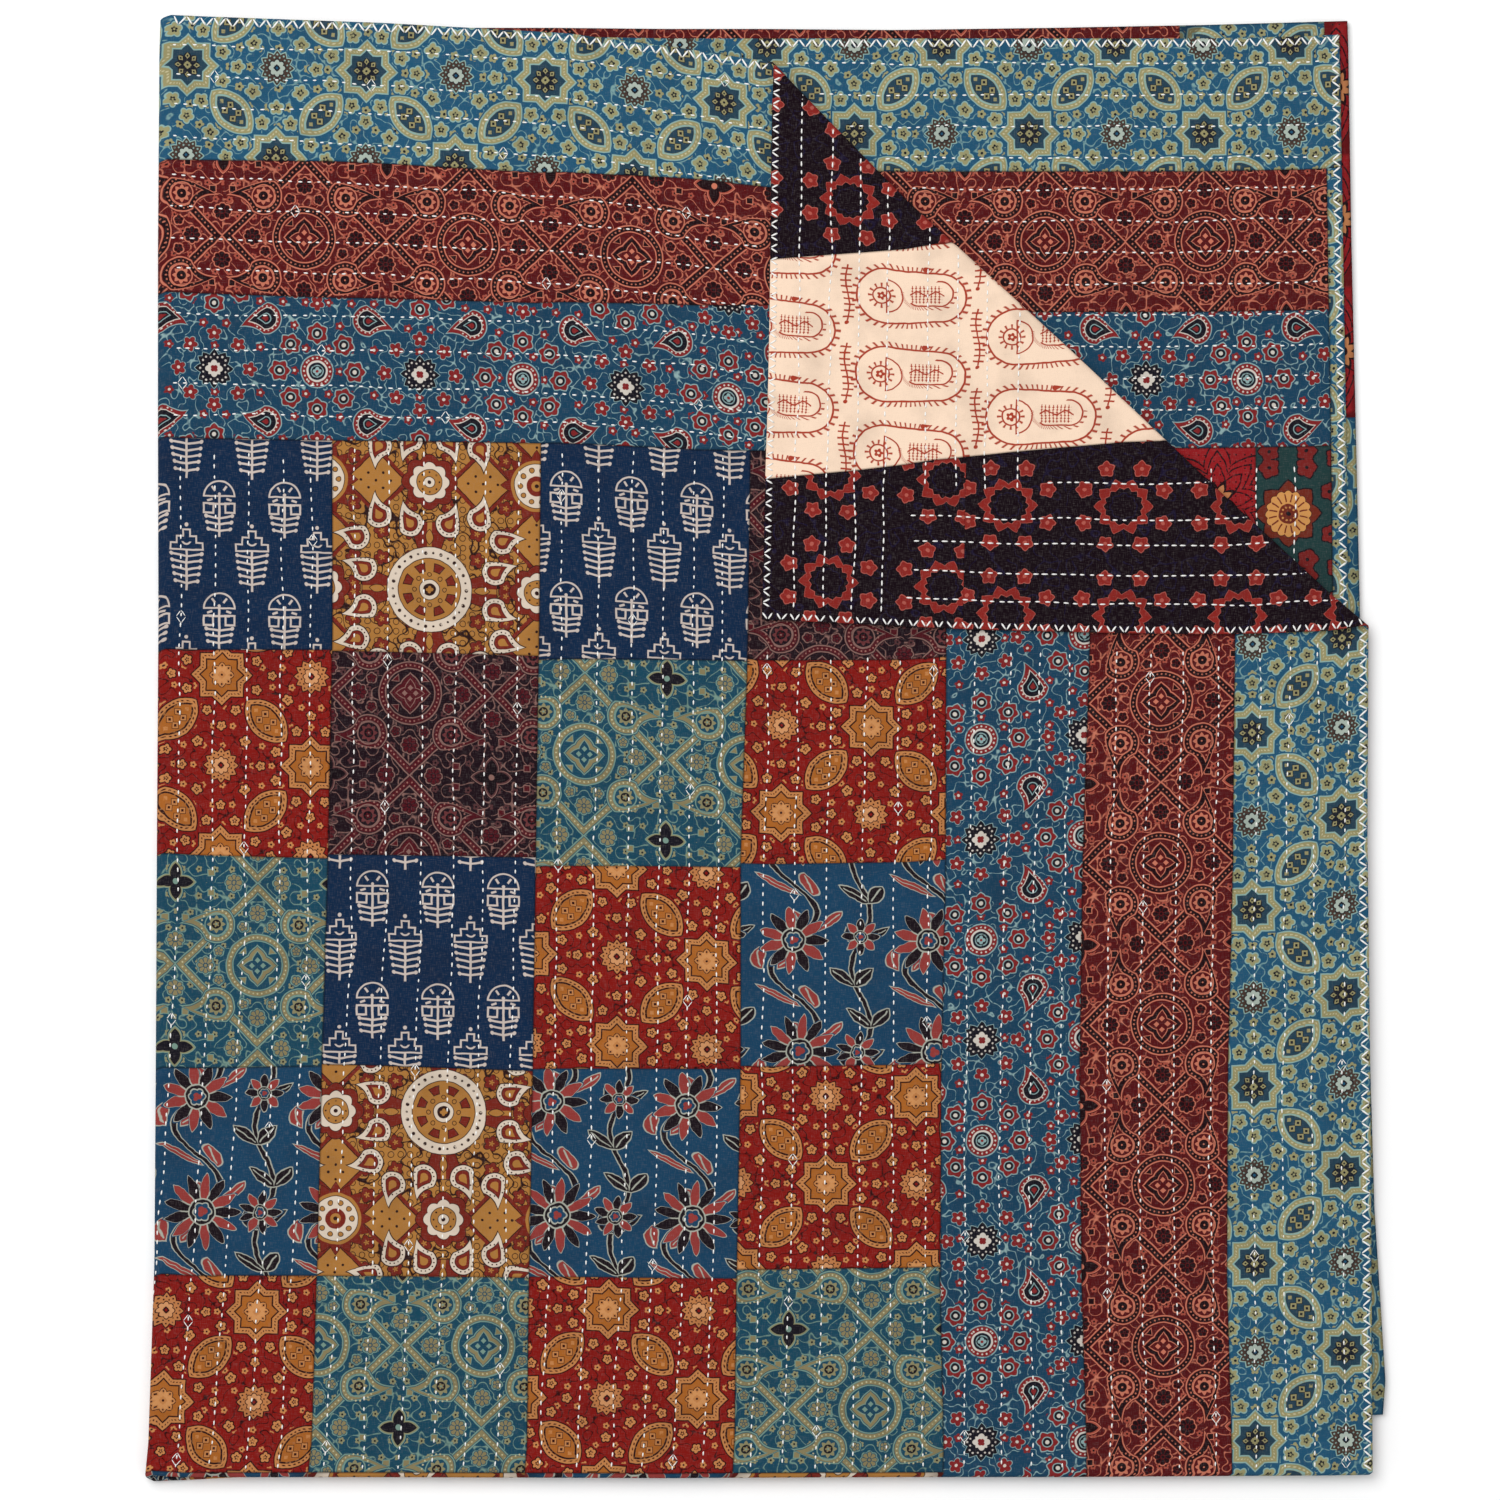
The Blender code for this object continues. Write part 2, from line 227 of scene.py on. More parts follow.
def read_table(rows, column, at):
    """The column's values at these places, on straight lines between the table's rows."""
    places = [row[0] * MM for row in rows]
    values = [getattr(row, column) for row in rows]
    return np.interp(at, places, values)


def part_of(value, low, high):
    """How far value has come from low to high, from 0 to 1."""
    return np.clip((value - low) / (high - low), 0.0, 1.0)


def soft_part_of(value, low, high):
    """The same, with a gentle start and end."""
    share = part_of(value, low, high)
    return share * share * (3 - 2 * share)


TURN_START = Vector((TURN_AT_TOP, LONG))
TURN_END = Vector((WIDE, TURN_AT_SIDE))
TURN_NORMAL = Vector((TURN_START.y - TURN_END.y, TURN_END.x - TURN_START.x)).normalized()
TURN_REACH = TURN_NORMAL.dot(Vector((WIDE, LONG)) - TURN_START)


def past_turn(x, y):
    """The distance beyond the line of the turned corner, towards the sewn corner."""
    return TURN_NORMAL.x * (x - TURN_START.x) + TURN_NORMAL.y * (y - TURN_START.y)


def on_second_layer(y):
    """Where a height in the stack lies on the flat quilt's other half, and the other way round."""
    return -y - BOTTOM_BEND


def stray(x, y, bottom_share, side_share, turn_share):
    """The sideways shift of points, mixed from their layers as they pass through the folds."""
    across = part_of(x, 0, WIDE)
    along = part_of(y, 0, LONG)
    shift_x = np.zeros_like(x)
    shift_y = np.zeros_like(y)
    layers = (
        ("first", "upper", (1 - bottom_share) * (1 - side_share)),
        ("second", "upper", bottom_share * (1 - side_share)),
        ("lower", "lower", side_share),
    )
    for layer, pair, weight in layers:
        left = read_table(ALONG, "left_" + pair, y)
        right = read_table(ALONG, "right_" + layer, y)
        bottom = read_table(ACROSS, "bottom_" + pair, x)
        top = read_table(ACROSS, "top_" + layer, x)
        shift_x += weight * (left + across * (right - left)) * MM
        shift_y += weight * (bottom + along * (top - bottom)) * MM
    pull = turn_share * part_of(-past_turn(x, y), 0, TURN_REACH)
    shift_x += pull * (read_table(CORNER_ALONG, "edge_x", y) * MM - shift_x)
    shift_y += pull * (read_table(CORNER_ACROSS, "edge_y", x) * MM - shift_y)
    return shift_x, shift_y


def folded(u, v, w):
    """Carries points of the flat quilt into the stack. w runs from the reverse to the front face."""
    turned = np.where((u > 0) & (v > 0), past_turn(u, v), -1.0)
    bottom_share = part_of(-v, 0, BOTTOM_BEND)
    side_share = part_of(-u, 0, SIDE_BEND)
    turn_share = part_of(turned, 0, TURN_BEND)

    reach = BOTTOM_FOLD_GAP + w
    angle = PI * bottom_share
    y = np.where(v > 0, v, -reach * np.sin(angle) + np.maximum(-v - BOTTOM_BEND, 0))
    level = reach * np.cos(angle)

    reach = SIDE_RADIUS + level
    angle = PI * side_share
    x = np.where(u > 0, u, -reach * np.sin(angle) + np.maximum(-u - SIDE_BEND, 0))
    z = reach * np.cos(angle)

    reach = CORNER_FOLD_GAP + THICK - w
    angle = PI * turn_share
    beyond = np.where(turned > 0, reach * np.sin(angle) - np.maximum(turned - TURN_BEND, 0) - turned, 0)
    x = x + TURN_NORMAL.x * beyond
    y = y + TURN_NORMAL.y * beyond
    settled = soft_part_of(turned, TURN_BEND, LAST_SETTLING)
    over = TOP_FACE + CORNER_FOLD_GAP - reach * np.cos(angle)
    z = np.where(turned > 0, over - settled * (2 * CORNER_FOLD_GAP - CORNER_REST_GAP), z)

    shift_x, shift_y = stray(x, y, bottom_share, side_share, turn_share)
    lift_across = np.where(u > 0, np.abs(u), np.maximum(-u - SIDE_BEND, 0))
    lift_along = np.where(v > 0, np.abs(v), np.maximum(-v - BOTTOM_BEND, 0))
    lift = read_table(ACROSS, "lift", lift_across) + read_table(ALONG, "lift", lift_along)
    z = (z + TOP_FACE) * (1 + lift)
    return np.stack((x + shift_x - CENTRE_X, y + shift_y - CENTRE_Y, z), axis=-1)


# The quilting rows, and how the cloth lies between them


def lean_at(u, v):
    """How far the rows up the quilt lean from their places half-way up."""
    middles = [sum(strip.places) / len(strip.places) * MM for strip in ROWS_UP]
    heights = [height * MM for height in LEAN_HEIGHTS.values()]
    total = np.zeros_like(u)
    for level, name in enumerate(LEAN_HEIGHTS):
        if name == "straight":
            continue
        weight = np.interp(v, heights, [float(i == level) for i in range(len(heights))])
        total += weight * np.interp(u, middles, [getattr(strip, name) * MM for strip in ROWS_UP])
    return total


def row_places_up():
    """The places of all rows up the quilt, from the side fold on."""
    return [place * MM for strip in ROWS_UP for place in strip.places]


def tilt_at(u):
    """How far along a top border a place is, from 0 at the near places to 1 at the far ones."""
    return np.clip(u / NEAR_TO_FAR, 0.0, FURTHEST_TILT)


def border_starts(u):
    """Where the top borders' rows take over from the rows up the quilt."""
    inner, middle, outer = (read_table(CROSS_SEAMS, name, u) * MM for name in ("inner", "middle", "outer"))
    fifth, sixth = UP_SEAMS[-1].fifth * MM, UP_SEAMS[-1].sixth * MM
    return np.where(u < fifth, inner, np.where(u < sixth, middle, outer))


def row_phase(u, v):
    """A number that is whole on each quilting row, and grows by 1 from row to row."""
    up = [BEFORE_FIRST_ROW, *row_places_up(), WIDE + BEYOND_LAST_ROW]
    phase_up = np.interp(u - lean_at(u, v), up, np.arange(len(up)))
    near = [row.near * MM for row in reversed(ROWS_ACROSS)]
    far = [row.far * MM for row in reversed(ROWS_ACROSS)]
    steps = np.arange(len(near) + 2)
    at_near = np.interp(v, [BELOW_NEAR_ROWS, *near, LONG + ABOVE_ROWS], steps)
    at_far = np.interp(v, [BELOW_FAR_ROWS, *far, LONG + ABOVE_ROWS], steps)
    phase_across = at_near + tilt_at(u) * (at_far - at_near)
    return np.where(v > border_starts(u), phase_across, phase_up)


def soft_noise(u, v, uneven):
    """A smooth, seeded unevenness about 0, with humps about as far apart as its wave."""
    rng = np.random.default_rng(uneven.seed)
    total = np.zeros_like(u)
    for _ in range(NOISE_WAVES):
        heading = rng.uniform(0, 2 * PI)
        stretch = rng.uniform(0.6, 1.5)
        start = rng.uniform(0, 2 * PI)
        along = u * math.cos(heading) + v * math.sin(heading)
        total += np.sin(2 * PI * along / (uneven.wave * stretch) + start)
    return uneven.share * total / (NOISE_WAVES / 2)


def depth_under_corner(u, v):
    """How far places on the first layer lie in from the turned corner's free edges."""
    return np.minimum(u - TURN_AT_TOP, v - TURN_AT_SIDE)


def puff(u, v, sizes):
    """The lift of the cloth between two rows of stitches, with its unevenness."""
    between = np.abs(np.sin(PI * row_phase(u, v))) ** HOLLOW_POWER
    edges = np.minimum(np.minimum(u, WIDE - u), np.minimum(v, LONG - v))
    fade = part_of(edges, 0, FLAT_BESIDE_EDGE)
    uneven = soft_noise(u, v, BROAD_UNEVEN) + soft_noise(u, v, FINE_UNEVEN)
    swell = between * (1 + soft_noise(u, v, SWELL_UNEVEN))
    return fade * np.maximum(sizes.row_lift * (swell + uneven), DEEPEST_DENT)


def raise_front(u, v, sizes):
    """The front's lift where it shows, and a little way in under the turned corner."""
    shown = np.where((u > 0) & (v > 0), 1 - part_of(depth_under_corner(u, v), 0, ROWS_UNDER), 0.0)
    shown = shown * (past_turn(u, v) < 0)
    return shown * puff(u, v, sizes)


def raise_reverse(u, v, sizes):
    """The reverse's lift on the turned corner and on the layer that the corner bares."""
    on_first = (u > 0) & (v > 0)
    on_corner = np.where(on_first, part_of(past_turn(u, v), TURN_BEND, FIRST_SETTLING), 0.0)
    lies_at = on_second_layer(v)
    on_second = (u > 0) & (v < -BOTTOM_BEND)
    bared = np.where(on_second, part_of(past_turn(u, lies_at), BARED_FROM, BARED_FULLY), 0.0)
    return on_corner * puff(u, v, sizes) + bared * puff(u, lies_at, sizes)


# Cutting the cloth

# A patch of cloth on the flat quilt. Its sides and ends are places, tables of places, or for an end
# the heights at its two corners. The digits of sewn are 1 where left, right, bottom and top are seams.
Patch = namedtuple("Patch", "left right bottom top cloth origin turned shown sewn")

SHOWN_PITCH = 5 * MM
HIDDEN_PITCH = 22 * MM
SEAM_STEPS = (1.3 * MM, 3.2 * MM)
MERGE_WITHIN = 0.05 * MM
UNDER_SIDE = 0.0
OUTER_SIDE = 1.0
NEAR_TURN = 90 * MM
CUT_WITHIN = 1e-6

# The baked map: the share of it that the shown patches get, the gap round each cell, the length that
# a cell has for its width where there are few shown patches or many, and the least width counted
MAP_FOR_SHOWN = 0.92
MAP_MARGIN = 0.006
FEW_PATCHES = 3
LONG_CELL = 3
SHORT_CELL = 1.4
LEAST_WIDTH = 0.12

# The dip along a seam, and the ridge of the turned-in cloth beside it
DIP_WIDTH = 1.9 * MM
RIDGE_HEIGHT = 0.18 * MM
RIDGE_AT = 5.5 * MM
RIDGE_WIDTH = 3 * MM
NO_SEAM = 1.0


def side_at(side, v):
    """Where an upright seam lies at these heights."""
    return read_table(*side, v) * MM if isinstance(side, tuple) else np.full_like(v, side * MM)


def end_at(end, share, u):
    """Where a crosswise seam lies at these distances from the side fold."""
    if isinstance(end, list):
        return (end[0] + share * (end[1] - end[0])) * MM
    return read_table(*end, u) * MM if isinstance(end, tuple) else np.full_like(u, end * MM)


def on_patch(patch, s, t):
    """The flat places at the shares s across and t up a patch."""
    v = np.zeros_like(s)
    for _ in range(3):
        left, right = side_at(patch.left, v), side_at(patch.right, v)
        u = left + s * (right - left)
        low, high = end_at(patch.bottom, s, u), end_at(patch.top, s, u)
        v = low + t * (high - low)
    return u, v


def cell_shares(length, pitch, fine):
    """The shares of a side at which a patch's cells end, closer together beside its seams."""
    count = max(2, round(length / pitch))
    if not fine or length < 6 * SEAM_STEPS[-1]:
        return np.linspace(0.0, 1.0, count + 1)
    near = np.array([0.0, *SEAM_STEPS]) / length
    inner = np.linspace(2 * near[-1], 1 - 2 * near[-1], count - 1)
    return np.concatenate((near, inner, 1 - near[::-1]))


def patch_size(patch):
    """The width and the length of a patch through its middle."""
    u, v = on_patch(patch, np.array([0.0, 1.0, 0.5, 0.5]), np.array([0.5, 0.5, 0.0, 1.0]))
    return float(u[1] - u[0]), float(v[3] - v[2])


def map_cells(columns, rows, low, high, margin):
    """The rectangles of a table of cells between two heights of the baked map."""
    for i in range(columns * rows):
        x, y = i % columns, i // columns
        bottom = low + (high - low) * y / rows
        top = low + (high - low) * (y + 1) / rows
        yield (x / columns + margin, bottom + margin, (x + 1) / columns - margin, top - margin)


def map_spots(patches):
    """The cells of the baked map that each patch gets, one for each length that it is cut into."""
    shown = [p.shown for p in patches]
    few = sum(shown) < FEW_PATCHES
    cell = LONG_CELL if few else SHORT_CELL
    cuts = []
    for patch in patches:
        short, long = sorted(patch_size(patch))
        slender = long / max(short, LEAST_WIDTH)
        cuts.append(max(1, round(slender / cell)) if patch.shown else 1)
    total = sum(c for c, is_shown in zip(cuts, shown) if is_shown)
    columns = 1 if few else 2
    low = MAP_FOR_SHOWN if total else 0.0
    for_shown = map_cells(columns, math.ceil(total / columns), 0.0, MAP_FOR_SHOWN, MAP_MARGIN)
    across = math.ceil(math.sqrt(len(patches)))
    for_hidden = map_cells(across, across, low, 1.0, MAP_MARGIN / 5)
    sources = [for_shown if is_shown else for_hidden for is_shown in shown]
    return [[next(source) for _ in range(count)] for source, count in zip(sources, cuts)]


def add_patch(bm, layers, patch, pitch, slot, spots):
    """Adds one patch to the flat cloth as a grid, with its maps and its distance from its seams."""
    wide, tall = patch_size(patch)
    across = cell_shares(wide, pitch, patch.shown)
    up = cell_shares(tall, pitch, patch.shown)
    made = bmesh.ops.create_grid(bm, x_segments=len(across) - 1, y_segments=len(up) - 1, size=0.5)
    verts = made["verts"]
    co = np.array([v.co[:2] for v in verts]) + 0.5
    s = np.interp(co[:, 0] * (len(across) - 1), np.arange(len(across)), across)
    t = np.interp(co[:, 1] * (len(up) - 1), np.arange(len(up)), up)
    u, v = on_patch(patch, s, t)
    sides = (s * wide, (1 - s) * wide, t * tall, (1 - t) * tall)
    depths = [d if sewn == "1" else np.full_like(s, NO_SEAM) for d, sewn in zip(sides, patch.sewn)]
    depth = np.minimum.reduce(depths)
    shares = {}
    for i, vert in enumerate(verts):
        vert.co = (u[i], v[i], UNDER_SIDE)
        vert[layers.depth] = depth[i]
        shares[vert] = (float(s[i]), float(t[i]))
    upright = tall > wide
    lengths = len(spots)
    for face in {f for vert in verts for f in vert.link_faces}:
        face.material_index = slot
        face.smooth = True
        middle = sum(shares[loop.vert][upright] for loop in face.loops) / len(face.loops)
        number = min(int(middle * lengths), lengths - 1)
        left, low, right, high = spots[number]
        for loop in face.loops:
            x, y = loop.vert.co.x, loop.vert.co.y
            loop[layers.cloth].uv = (x, y)
            x, y = x - patch.origin[0] * MM, y - patch.origin[1] * MM
            loop[layers.print].uv = (y, -x) if patch.turned else (x, y)
            along, aside = shares[loop.vert][upright], shares[loop.vert][not upright]
            along = along * lengths - number
            loop[layers.bake].uv = (left + (right - left) * along, low + (high - low) * aside)


def slice_flat(bm, place, normal, wanted=None):
    """Cuts the flat cloth's faces along a line, or only those whose middles are wanted."""
    faces = [f for f in bm.faces if wanted is None or wanted(f.calc_center_median())]
    geom = dict.fromkeys([*faces, *(e for f in faces for e in f.edges), *(v for f in faces for v in f.verts)])
    plane = {"plane_co": (place[0], place[1], 0), "plane_no": (normal[0], normal[1], 0)}
    bmesh.ops.bisect_plane(bm, geom=list(geom), dist=CUT_WITHIN, **plane)


def near_turn(centre):
    return centre.x > 0 and centre.y > 0 and abs(past_turn(centre.x, centre.y)) < NEAR_TURN


def slice_bends(bm, coarse):
    """Cuts the flat cloth where it bends, and if it is coarse also where the layers' edges change."""
    low_u, high_u = min(v.co.x for v in bm.verts), max(v.co.x for v in bm.verts)
    low_v, high_v = min(v.co.y for v in bm.verts), max(v.co.y for v in bm.verts)
    across = [-SIDE_BEND * i / FOLD_STEPS for i in range(FOLD_STEPS + 1)]
    up = [-BOTTOM_BEND * i / FOLD_STEPS for i in range(FOLD_STEPS + 1)]
    if coarse:
        across += [x for row in ACROSS[:-1] for x in (row.x * MM, -row.x * MM - SIDE_BEND)]
        up += [y for row in ALONG[:-1] for y in (row.y * MM, on_second_layer(row.y * MM))]
    for x in across:
        if low_u < x < high_u:
            slice_flat(bm, (x, 0), (1, 0))
    for y in up:
        if low_v < y < high_v:
            slice_flat(bm, (0, y), (0, 1))
    if any(past_turn(v.co.x, v.co.y) > 0 for v in bm.verts if v.co.x > 0 and v.co.y > 0):
        lines = [TURN_BEND * i / TURN_STEPS for i in range(TURN_STEPS + 1)]
        if coarse:
            lines += [FIRST_SETTLING, LAST_SETTLING]
        for distance in lines:
            slice_flat(bm, TURN_START + TURN_NORMAL * distance, TURN_NORMAL, near_turn)


def thicken(bm):
    """Gives the flat cloth its second side, with the first one facing down."""
    bmesh.ops.recalc_face_normals(bm, faces=bm.faces)
    if sum(f.normal.z for f in bm.faces) > 0:
        bmesh.ops.reverse_faces(bm, faces=bm.faces)
    made = bmesh.ops.extrude_face_region(bm, geom=list(bm.faces), use_keep_orig=True)
    for item in made["geom"]:
        if isinstance(item, bmesh.types.BMVert):
            item.co.z = OUTER_SIDE
    bmesh.ops.recalc_face_normals(bm, faces=bm.faces)


def height_at_seam(depth, sizes):
    """The dip along a seam and the faint ridge of the turned-in cloth beside it."""
    dip = -sizes.seam_depth * np.exp(-((depth / DIP_WIDTH) ** 2))
    return dip + RIDGE_HEIGHT * np.exp(-(((depth - RIDGE_AT) / RIDGE_WIDTH) ** 2))


def flat_cloth(name, patches, pitch, cloths):
    """The mesh of one piece of cloth as it is cut, with its height from one side to the other."""
    bm = bmesh.new()
    Layers = namedtuple("Layers", "depth cloth print bake")
    maps = [bm.loops.layers.uv.new(title) for title in ("cloth", "print", "OFBake")]
    layers = Layers(bm.verts.layers.float.new("seam_depth"), *maps)
    for patch, cells in zip(patches, map_spots(patches)):
        fineness = pitch if patch.shown else HIDDEN_PITCH
        add_patch(bm, layers, patch, fineness, cloths.index(patch.cloth), cells)
    bmesh.ops.remove_doubles(bm, verts=bm.verts, dist=MERGE_WITHIN)
    slice_bends(bm, pitch > SHOWN_PITCH or any(not p.shown for p in patches))
    thicken(bm)
    mesh = bpy.data.meshes.new(name)
    bm.to_mesh(mesh)
    bm.free()
    return mesh


def fold_cloth(mesh, low, high, raised, is_front):
    """Folds a flat piece into the stack, and raises it between its rows and seams."""
    sizes = bpy.context.scene.quilt_sizes
    count = len(mesh.vertices)
    flat = np.empty(count * 3, dtype=np.float32)
    mesh.vertices.foreach_get("co", flat)
    u, v, side = flat.reshape(-1, 3).astype(float).T
    depth = np.empty(count, dtype=np.float32)
    mesh.attributes["seam_depth"].data.foreach_get("value", depth)
    if not is_front:
        side = 1 - side
    placed = folded(u, v, low + side * (high - low))
    placed[:, 2] += raised(u, v, sizes)
    placed[:, 2] += shown_share(u, v, is_front) * height_at_seam(depth.astype(float), sizes)
    mesh.vertices.foreach_set("co", placed.astype(np.float32).ravel())
    if not is_front:
        mesh.flip_normals()
    mesh.update()


def cut_cloth(name, patches, pitch, low, high, raised, is_front):
    """Builds one piece of cloth from its patches, between two levels of the quilt's thickness."""
    cloths = sorted({patch.cloth for patch in patches})
    mesh = flat_cloth(name, patches, pitch, cloths)
    fold_cloth(mesh, low, high, raised, is_front)
    for cloth in cloths:
        mesh.materials.append(printed_cloth(cloth))
    piece = bpy.data.objects.new(name, mesh)
    bpy.context.collection.objects.link(piece)
    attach(piece, "root")
    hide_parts("front_cloth" if is_front else "back_cloth")
    sizes = [patch_size(patch) for patch in patches]


def shown_share(u, v, is_front):
    """1 where this side of the cloth shows from above, else 0."""
    on_first = (u > 0) & (v > 0)
    turned = past_turn(u, v)
    if is_front:
        return np.where(on_first & (turned < 0), 1.0, 0.0)
    bared = (u > 0) & (v < -BOTTOM_BEND) & (past_turn(u, on_second_layer(v)) > 0)
    return np.where((on_first & (turned > TURN_BEND)) | bared, 1.0, 0.0)


# Drawing prints with nodes

SOFT_EDGE = 0.45
SHAKES_PER_METRE = 90.0
WEAR_PER_METRE = 300.0
WEAR_CONTRAST = 5.0
WEAR_FROM = -1.4

# What a printed colour is scaled by, so that it looks as listed in the studio light
READ_AT = 0.66

# The inputs and the output of a mix node that carry the mask and the two colours
MIX_MASK = 0
MIX_UNDER = 6
MIX_OVER = 7
MIX_RESULT = 2


def linear(colour):
    """A colour as it looks in the studio light, from 0 to 255, as the cloth's own colour."""
    shares = [c / 255 for c in colour]
    light = [s / 12.92 if s < 0.04045 else ((s + 0.055) / 1.055) ** 2.4 for s in shares]
    return (*(READ_AT * value for value in light), 1)


class Field:
    """A number that varies over the cloth. Sums of fields add nodes to their drawing."""

    def __init__(self, drawing, socket):
        self.drawing = drawing
        self.socket = socket

    def __add__(self, other):
        return self.drawing.maths("ADD", self, other)

    def __sub__(self, other):
        return self.drawing.maths("SUBTRACT", self, other)

    def __rsub__(self, other):
        return self.drawing.maths("SUBTRACT", other, self)

    def __mul__(self, other):
        return self.drawing.maths("MULTIPLY", self, other)

    def __abs__(self):
        return self.drawing.maths("ABSOLUTE", self)

    def __neg__(self):
        return self * -1.0

    __radd__ = __add__
    __rmul__ = __mul__


class Drawing:
    """A print on one cloth: a ground colour, and shapes painted over it in millimetres."""

    def __init__(self, material, ground):
        self.nodes = material.node_tree.nodes
        self.links = material.node_tree.links
        self.colour = None
        self.ground = ground

    def maths(self, kind, *values, clamp=False):
        node = self.nodes.new("ShaderNodeMath")
        node.operation = kind
        node.use_clamp = clamp
        for socket, value in zip(node.inputs, values):
            if isinstance(value, Field):
                self.links.new(value.socket, socket)
            else:
                socket.default_value = value
        return Field(self, node.outputs[0])

    def noise(self, vector, scale, detail=2.0):
        node = self.nodes.new("ShaderNodeTexNoise")
        node.inputs["Scale"].default_value = scale
        node.inputs["Detail"].default_value = detail
        self.links.new(vector, node.inputs["Vector"])
        return node

    def split(self, vector):
        node = self.nodes.new("ShaderNodeSeparateXYZ")
        self.links.new(vector, node.inputs[0])
        return [Field(self, socket) for socket in node.outputs]

    def place(self, wobble):
        """The print's coordinates in millimetres, shaken a little as by a hand-held block."""
        uv = self.nodes.new("ShaderNodeUVMap")
        uv.uv_map = "print"
        shakes = self.split(self.noise(uv.outputs["UV"], SHAKES_PER_METRE).outputs["Color"])
        wear = Field(self, self.noise(uv.outputs["UV"], WEAR_PER_METRE, 3.0).outputs["Fac"])
        self.wear = self.maths("MULTIPLY_ADD", wear, WEAR_CONTRAST, WEAR_FROM, clamp=True)
        shaken = []
        for value, shake in zip(self.split(uv.outputs["UV"])[:2], shakes):
            shift = self.maths("MULTIPLY_ADD", shake, 2 * wobble, -wobble)
            shaken.append(self.maths("MULTIPLY_ADD", value, 1 / MM, shift))
        return shaken

    def paint(self, mask, colour, worn=False):
        """Lays a colour over the drawing where the mask is 1."""
        if worn:
            mask = mask * self.wear
        node = self.nodes.new("ShaderNodeMix")
        node.data_type = "RGBA"
        self.links.new(mask.socket, node.inputs[MIX_MASK])
        if self.colour is None:
            node.inputs[MIX_UNDER].default_value = linear(self.ground)
        else:
            self.links.new(self.colour, node.inputs[MIX_UNDER])
        node.inputs[MIX_OVER].default_value = linear(colour)
        self.colour = node.outputs[MIX_RESULT]

    def fill(self, distance, colour, worn=False):
        """Paints where the distance is below 0."""
        self.paint(inside(distance), colour, worn)

    def fills(self, distance, *rims):
        """Fills a shape again and again, each time grown by a width and in a colour of its own."""
        for width, colour in rims:
            self.fill(distance - width, colour)

    def stroke(self, distance, half, colour, worn=True):
        """Paints a line where the distance is 0, of twice the half."""
        self.paint(inside(abs(distance) - half), colour, worn)

    def wheel(self, x, y):
        """The distance from the origin and the direction from it."""
        return length(x, y), self.maths("ARCTAN2", y, x)


def length(x, y):
    return x.drawing.maths("SQRT", x.drawing.maths("MULTIPLY_ADD", x, x, y * y))


def least(a, b):
    return a.drawing.maths("MINIMUM", a, b)


def most(a, b):
    return a.drawing.maths("MAXIMUM", a, b)


def wrapped(a, pitch):
    """The coordinate from the middle of its own repeat."""
    return a.drawing.maths("WRAP", a, pitch / 2, -pitch / 2)


def bounced(a, half):
    """The coordinate mirrored to and fro between 0 and half."""
    return a.drawing.maths("PINGPONG", a, half)


def inside(distance, soft=SOFT_EDGE):
    """1 where the distance is below 0, with a soft edge."""
    return distance.drawing.maths("MULTIPLY_ADD", distance, -1 / soft, 0.5, clamp=True)


def turned(x, y, angle):
    """The coordinates along and beside a direction."""
    c, s = math.cos(angle), math.sin(angle)
    maths = x.drawing.maths
    return maths("MULTIPLY_ADD", x, c, y * s), maths("MULTIPLY_ADD", y, c, x * -s)


def square_star(x, y, half):
    """An eight-pointed star of two squares."""
    x, y = abs(x), abs(y)
    return least(most(x, y), (x + y) * HALF_ROOT) - half


def pointed_star(radius, angle, points, outer, inner):
    """A star whose edge runs from its points in to its notches."""
    share = bounced(angle, PI / points)
    return radius.drawing.maths("MULTIPLY_ADD", share, (outer - inner) * points / PI, radius - outer)


def scallops(radius, angle, count, outer, depth):
    """A round flower with lobes."""
    maths = radius.drawing.maths
    lobes = abs(maths("COSINE", angle * (count / 2)))
    return maths("MULTIPLY_ADD", lobes, -depth, radius - (outer - depth))


def dots_round(radius, angle, at, count, size):
    """A circle of dots."""
    return length(bounced(angle, PI / count) * at, radius - at) - size


def dots_along(along, aside, pitch, size):
    """A straight row of dots."""
    return length(wrapped(along, pitch), aside) - size


def almond(along, aside, half_long, half_wide):
    """A pointed oval between two arcs."""
    reach = (half_long**2 + half_wide**2) / (2 * half_wide)
    return length(along, abs(aside) + (reach - half_wide)) - reach


def teardrop(x, y, round_radius, tip, angle, bend):
    """A paisley: round about its middle and drawn out to a bent tip."""
    maths = x.drawing.maths
    along, aside = turned(x, y, angle)
    ahead = maths("MAXIMUM", along, 0.0)
    aside = maths("MULTIPLY_ADD", ahead * ahead, bend, aside)
    behind = maths("MINIMUM", along, 0.0)
    return length(behind, aside) + maths("MULTIPLY_ADD", ahead, round_radius / tip, -round_radius)


def chequered(x, y, pitch):
    """Folds a chequered lattice on to one of its cells.

    Gives x and y from a crossing of the first kind, with the second kind at pitch, 0, and then the
    coordinates from the cell's middle, along the line that joins two of the first kind and beside it.
    """
    x, y = bounced(x, pitch), bounced(y, pitch)
    along = (x + y - pitch) * HALF_ROOT
    aside = (x - y) * HALF_ROOT
    deep, wide = abs(along) * HALF_ROOT, abs(aside) * HALF_ROOT
    return wide - deep + pitch / 2, pitch / 2 - (deep + wide), along, aside


